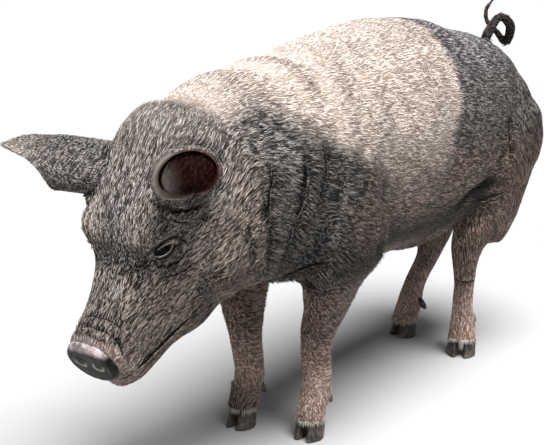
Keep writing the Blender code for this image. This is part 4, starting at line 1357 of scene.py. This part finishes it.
def draw_folds(obj, regions, lines):
    """Lays fine near-black bristles along the bottom of every fold as painted shade, and pale ones along its
    lower lip as painted light.
    """
    co, no = positions(obj), normals(obj)
    surface, tree = surface_of(obj), tree_of(co)
    drawn = [(line, width * 0.50, strength) for line, width, strength in lines if width < WIDEST_DRAWN]
    drawn += [(settle_on(line, surface), 0.0013, 1.0) for line in lid_shade_lines()]
    rows = []
    for line, width, strength in drawn:
        if np.linalg.norm(np.diff(line, axis=0), axis=1).sum() >= SHORTEST_DRAWN:
            width = min(max(width, 0.0010), 0.0036)
            rows += [bristles_along(line, width, strength, is_lit_lip, no, tree) for is_lit_lip in (False, True)]
    roots, ways, lengths, widths, on_lit_lip = (np.concatenate(v) for v in zip(*rows))
    index = nearest(roots, tree)[0]
    outward, count = no[index], len(roots)
    ways = unit(ways - outward * along_rows(ways, outward)[:, None])
    # painted shade: black bristles in the folds; painted light: pale bristles on their lips
    tone = np.where(on_lit_lip, 0.55 + 0.4 * rng.random(count), 0.0)
    looks = {"tone": np.outer(tone, np.ones(TUFT_POINTS)),
             "fold": np.outer(np.where(on_lit_lip, 0.0, 0.95), np.ones(TUFT_POINTS)),
             "dark_strands_and_valley_shade": np.full((count, 3), 0.004),
             "light_strands_and_lit_crests": coat_colours(co, regions)[1][index]}
    looks.update({label: values[index] for label, values in shares_of_lies(co, regions).items()})
    roots = np.array(settle_on(roots, surface)) + outward * np.where(on_lit_lip, 0.0003, 0.0010)[:, None]
    corners = read(obj.data.loops, "vertex_index", 1, np.int32)[:, 0]
    loop_at = np.zeros(len(co), dtype=int)
    loop_at[corners] = np.arange(len(corners))
    build_tufts("coat_folds", "dark_coat", roots, outward, ways, lengths, widths,
                np.where(on_lit_lip, 0.0010, 0.0014), looks, unwrapped(obj)[loop_at[index]])


def unwrap(obj):
    bpy.ops.object.select_all(action="DESELECT")
    obj.select_set(True)
    bpy.context.view_layer.objects.active = obj
    obj.data.uv_layers.new(name="OFBake")
    bpy.ops.object.mode_set(mode="EDIT")
    bpy.ops.mesh.select_all(action="SELECT")
    bpy.ops.uv.smart_project(angle_limit=radians(66), island_margin=0.001)
    bpy.ops.object.mode_set(mode="OBJECT")


skin.data.polygons.foreach_set("use_smooth", np.ones(len(skin.data.polygons), dtype=bool))
unwrap(skin)
crease_lines = crease_shade_lines(skin)
skin_regions = paint_skin(skin, crease_lines)
make_coat(skin, skin_regions, crease_lines)
draw_folds(skin, skin_regions, crease_lines)
finish_piece(skin, SKIN_MATERIAL, "dark_coat", *FLESH, "ear_left", "ear_right", *TAIL)


# -------------------- eyeballs

def make_eyeball(eye):
    """A moist ball with a dark pupil in a brown iris, turned to look out between the lids."""
    bm = bmesh.new()
    bmesh.ops.create_uvsphere(bm, u_segments=56, v_segments=42, radius=EYE_RADIUS)
    ball = new_object("eyeball_" + eye.name, bm)
    look = Vector(eye.out - eye.along * 0.38).normalized()
    co = positions(ball)
    co = co * (1 + 0.0011 * ramp(co[:, 2], 0.0125, 0.0172) / EYE_RADIUS)[:, None]
    away = np.degrees(np.arccos(np.clip(co[:, 2] / np.linalg.norm(co, axis=1), -1, 1)))
    place_all(ball, co @ np.array(look.to_track_quat("Z", "Y").to_matrix()).T + eye.centre)
    add_attribute(ball.data, "degrees_from_pupil", away)
    finish_piece(ball, EYE_MATERIAL, "eye", "eye_" + eye.name)


def make_eye_material():
    material, w, shader = new_material("moist_eye")
    away, fleck = w.attribute("degrees_from_pupil"), w.noise(w.where(), 900)
    iris = w.mix(fleck, (0.003, 0.0015, 0.001), (0.010, 0.004, 0.0025))
    colour = w.mix(w.ramp(away, 18.0, 21.0), (0.001, 0.001, 0.001), iris)
    colour = w.mix(w.ramp(away, 35.0, 38.0), colour, (0.004, 0.003, 0.002))
    ragged = w.plus(away, w.times(fleck, 5.0))
    colour = w.mix(w.ramp(ragged, 63.0, 69.0), colour, (0.085, 0.034, 0.018))
    w.fill(shader, {"Base Color": colour, "Roughness": 0.07, "IOR": 1.13})
    return material


EYE_MATERIAL = make_eye_material()
for eye in EYES:
    make_eyeball(eye)


# -------------------- single hairs

HAIR_STEPS, HAIR_THICKNESS, HAIR_SIDES = (0.0, 0.4, 0.75, 1.0), (1.0, 0.8, 0.5, 0.08), 3
LASHES_PER_EYE, HAIRS_PER_FOOT, HAIRS_IN_BRUSH = 19, 240, 150


def build_hairs(name, hairs, radius, colour, shades):
    """Joins curved, tapering hairs into one mesh. Each has a root, a heading, a bend and a length."""
    colours = np.array(colour) * rng.uniform(*shades, (len(hairs), 1))
    verts, faces = [], []
    for root, heading, bend, length in hairs:
        first = len(verts)
        heading = heading / np.linalg.norm(heading)
        over = np.cross(heading, (0.3, 0.2, 0.93))
        over /= np.linalg.norm(over)
        other = np.cross(heading, over)
        for step, share in zip(HAIR_STEPS, HAIR_THICKNESS):
            middle = root + heading * length * step + bend * length * step * step
            for k in range(HAIR_SIDES):
                angle = 2 * pi * k / HAIR_SIDES
                verts.append(middle + (over * cos(angle) + other * sin(angle)) * radius * share)
        last = len(verts) - HAIR_SIDES
        for ring in range(first, last, HAIR_SIDES):
            faces += [(ring + k, ring + (k + 1) % HAIR_SIDES, ring + (k + 1) % HAIR_SIDES + HAIR_SIDES,
                       ring + k + HAIR_SIDES) for k in range(HAIR_SIDES)]
        faces += [(first + 2, first + 1, first), (last, last + 1, last + 2)]
    mesh = bpy.data.meshes.new(name)
    mesh.from_pydata([tuple(v) for v in verts], [], faces)
    add_attribute(mesh, "strand_colour", np.repeat(colours, len(HAIR_STEPS) * HAIR_SIDES, axis=0))
    finish_piece(linked(name, mesh), HAIR_MATERIAL, "dark_coat")


def make_lashes():
    """Stiff lashes on the upper lid of each eye."""
    hairs = []
    for eye in EYES:
        for x in np.linspace(-0.013, 0.014, LASHES_PER_EYE):
            y = float(slit_edges(x)[0]) + 0.0014 + rng.uniform(-0.0003, 0.0003)
            z = np.sqrt(max((EYE_RADIUS + 0.0024) ** 2 - x * x - y * y, 0))
            hairs.append((
                eye.centre + eye.along * x + eye.across * y + eye.out * (z - 0.0008),
                eye.out * 0.8 + eye.across * rng.uniform(0.0, 0.3) + eye.along * rng.uniform(-0.1, 0.5),
                -eye.across * rng.uniform(0.35, 0.6) + eye.along * 0.2,
                rng.uniform(0.007, 0.012),
            ))
    build_hairs("lashes", hairs, 0.00032, (0.05, 0.042, 0.038), (0.5, 3.5))


make_lashes()


# -------------------- claws

def make_claw_material():
    material, w, shader = new_material("horn")
    where = w.where()
    rings = w.noise(w.stretched(where, (1, 1, 7)), 60)
    grain = w.noise(w.stretched(where, (1, 1, 0.2)), 260)
    colour = w.mix(w.ramp(grain, 0.35, 0.7), (0.018, 0.014, 0.012), (0.110, 0.088, 0.072))
    colour = w.mix(w.ramp(w.noise(where, 45), 0.5, 0.75), colour, (0.20, 0.165, 0.135))
    colour = w.mix(w.times(w.attribute("height_on_claw"), 0.7), colour, (0.012, 0.010, 0.009))
    relief = w.bump(grain, 0.0006, 0.8, Normal=w.bump(rings, 0.0016, 0.9))
    w.fill(shader, {"Base Color": colour, "Roughness": 0.42, "Normal": relief})
    return material


def make_claws():
    """Every claw and dewclaw, rounded off at its edges."""
    horn = make_claw_material()
    for name in sorted(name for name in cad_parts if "claw" in name):
        bm = grown_copy((name,), 0.0)
        bmesh.ops.remove_doubles(bm, verts=bm.verts, dist=0.0001)
        bmesh.ops.dissolve_limit(bm, angle_limit=radians(1), verts=bm.verts, edges=bm.edges)
        sharp = [e for e in bm.edges if e.is_manifold and e.calc_face_angle() > radians(38)]
        bmesh.ops.bevel(bm, geom=sharp, offset=0.0018, segments=3, affect="EDGES", profile=0.5,
                        clamp_overlap=True, material=-1)
        bmesh.ops.triangulate(bm, faces=[f for f in bm.faces if len(f.verts) > 4])
        claw = new_object(name + "_horn", bm)
        height = positions(claw)[:, 2]
        add_attribute(claw.data, "height_on_claw", ramp(height, height.max() - 0.012, height.max() - 0.004))
        finish_piece(claw, horn, "horn", name)


def make_fringe():
    """Pale hairs that hang over the top of every claw."""
    hairs = []
    surface = surface_of(skin)
    for left, forward in FEET.values():
        for _ in range(HAIRS_PER_FOOT):
            angle = rng.uniform(0, 2 * pi)
            ring = at(left + 0.030 * sin(angle), forward + 0.006 + 0.026 * cos(angle), 0.040)
            ring.z += rng.uniform(-0.002, 0.005)
            outward = np.array((sin(angle), -cos(angle), 0))
            hairs.append((settle_on([ring], surface)[0], outward * rng.uniform(0.15, 0.5) - (0, 0, 1),
                          np.array((0, 0, -0.1)), rng.uniform(0.006, 0.012)))
    build_hairs("fringe_over_claws", hairs, 0.00055, (0.60, 0.53, 0.46), (0.5, 1.2))


def make_tail_tuft():
    """Long hairs that end the tail in a thin brush."""
    line = tail_line()
    hairs = []
    for _ in range(HAIRS_IN_BRUSH):
        i = int(rng.integers(BRUSH_FROM, BRUSH_TO))
        step = line[i + 1] - line[i - 1]
        step /= np.linalg.norm(step)
        spin = rng.normal(size=3)
        spin -= step * (spin @ step)
        spin /= np.linalg.norm(spin)
        length = rng.uniform(0.010, 0.020) * (1.1 - 0.5 * (i - BRUSH_FROM) / (BRUSH_TO - BRUSH_FROM))
        hairs.append((line[i] + spin * 0.0014, step + spin * 0.16, -spin * 0.10, length))
    build_hairs("tail_brush", hairs, 0.0006, (0.03, 0.026, 0.024), (0.5, 4.0))


make_claws()
make_fringe()
make_tail_tuft()


# -------------------- staging

def aim(obj, place, heading):
    """Puts a lamp or a camera in its place and turns it to a heading."""
    obj.location = place
    obj.rotation_mode = "QUATERNION"
    obj.rotation_quaternion = Vector(heading).to_track_quat("-Z", "Y")


def make_floor():
    bm = bmesh.new()
    bmesh.ops.create_grid(bm, x_segments=1, y_segments=1, size=12)
    floor = new_object("floor", bm)
    material, w, shader = new_material("pale_floor")
    w.fill(shader, {"Base Color": (0.40, 0.40, 0.40), "Roughness": 0.9})
    floor.data.materials.append(material)


def make_lamp(name, kind, place, heading, **settings):
    light = bpy.data.lights.new(name, kind)
    for label, value in settings.items():
        setattr(light, label, value)
    aim(linked(name, light), place, heading)


CAMERA_PLACE, CAMERA_HEADING, CAMERA_LENS = (1.3230, -1.9827, 1.051), (-0.574, 0.775, -0.2648), 81.27


def make_camera():
    camera = linked("camera", bpy.data.cameras.new("camera"))
    aim(camera, CAMERA_PLACE, CAMERA_HEADING)
    camera.data.lens, camera.data.sensor_width = CAMERA_LENS, 36
    bpy.context.scene.camera = camera


make_floor()
make_camera()
make_lamp("ceiling", "SUN", (0, 0, 0), (-0.30, 0.10, -1.0), energy=7.9, angle=radians(40))
make_lamp("fill", "AREA", (0.9, -3.3, 1.9), (-0.9, 3.1, -1.5), shape="DISK", size=2.4, energy=7)
world = bpy.data.worlds.new("studio")
world.use_nodes = True
Wiring(world.node_tree).fill(world.node_tree.nodes["Background"], {"Color": (1, 1, 1), "Strength": 0.17})
bpy.context.scene.world = world
bpy.context.scene.view_settings.view_transform = "Standard"
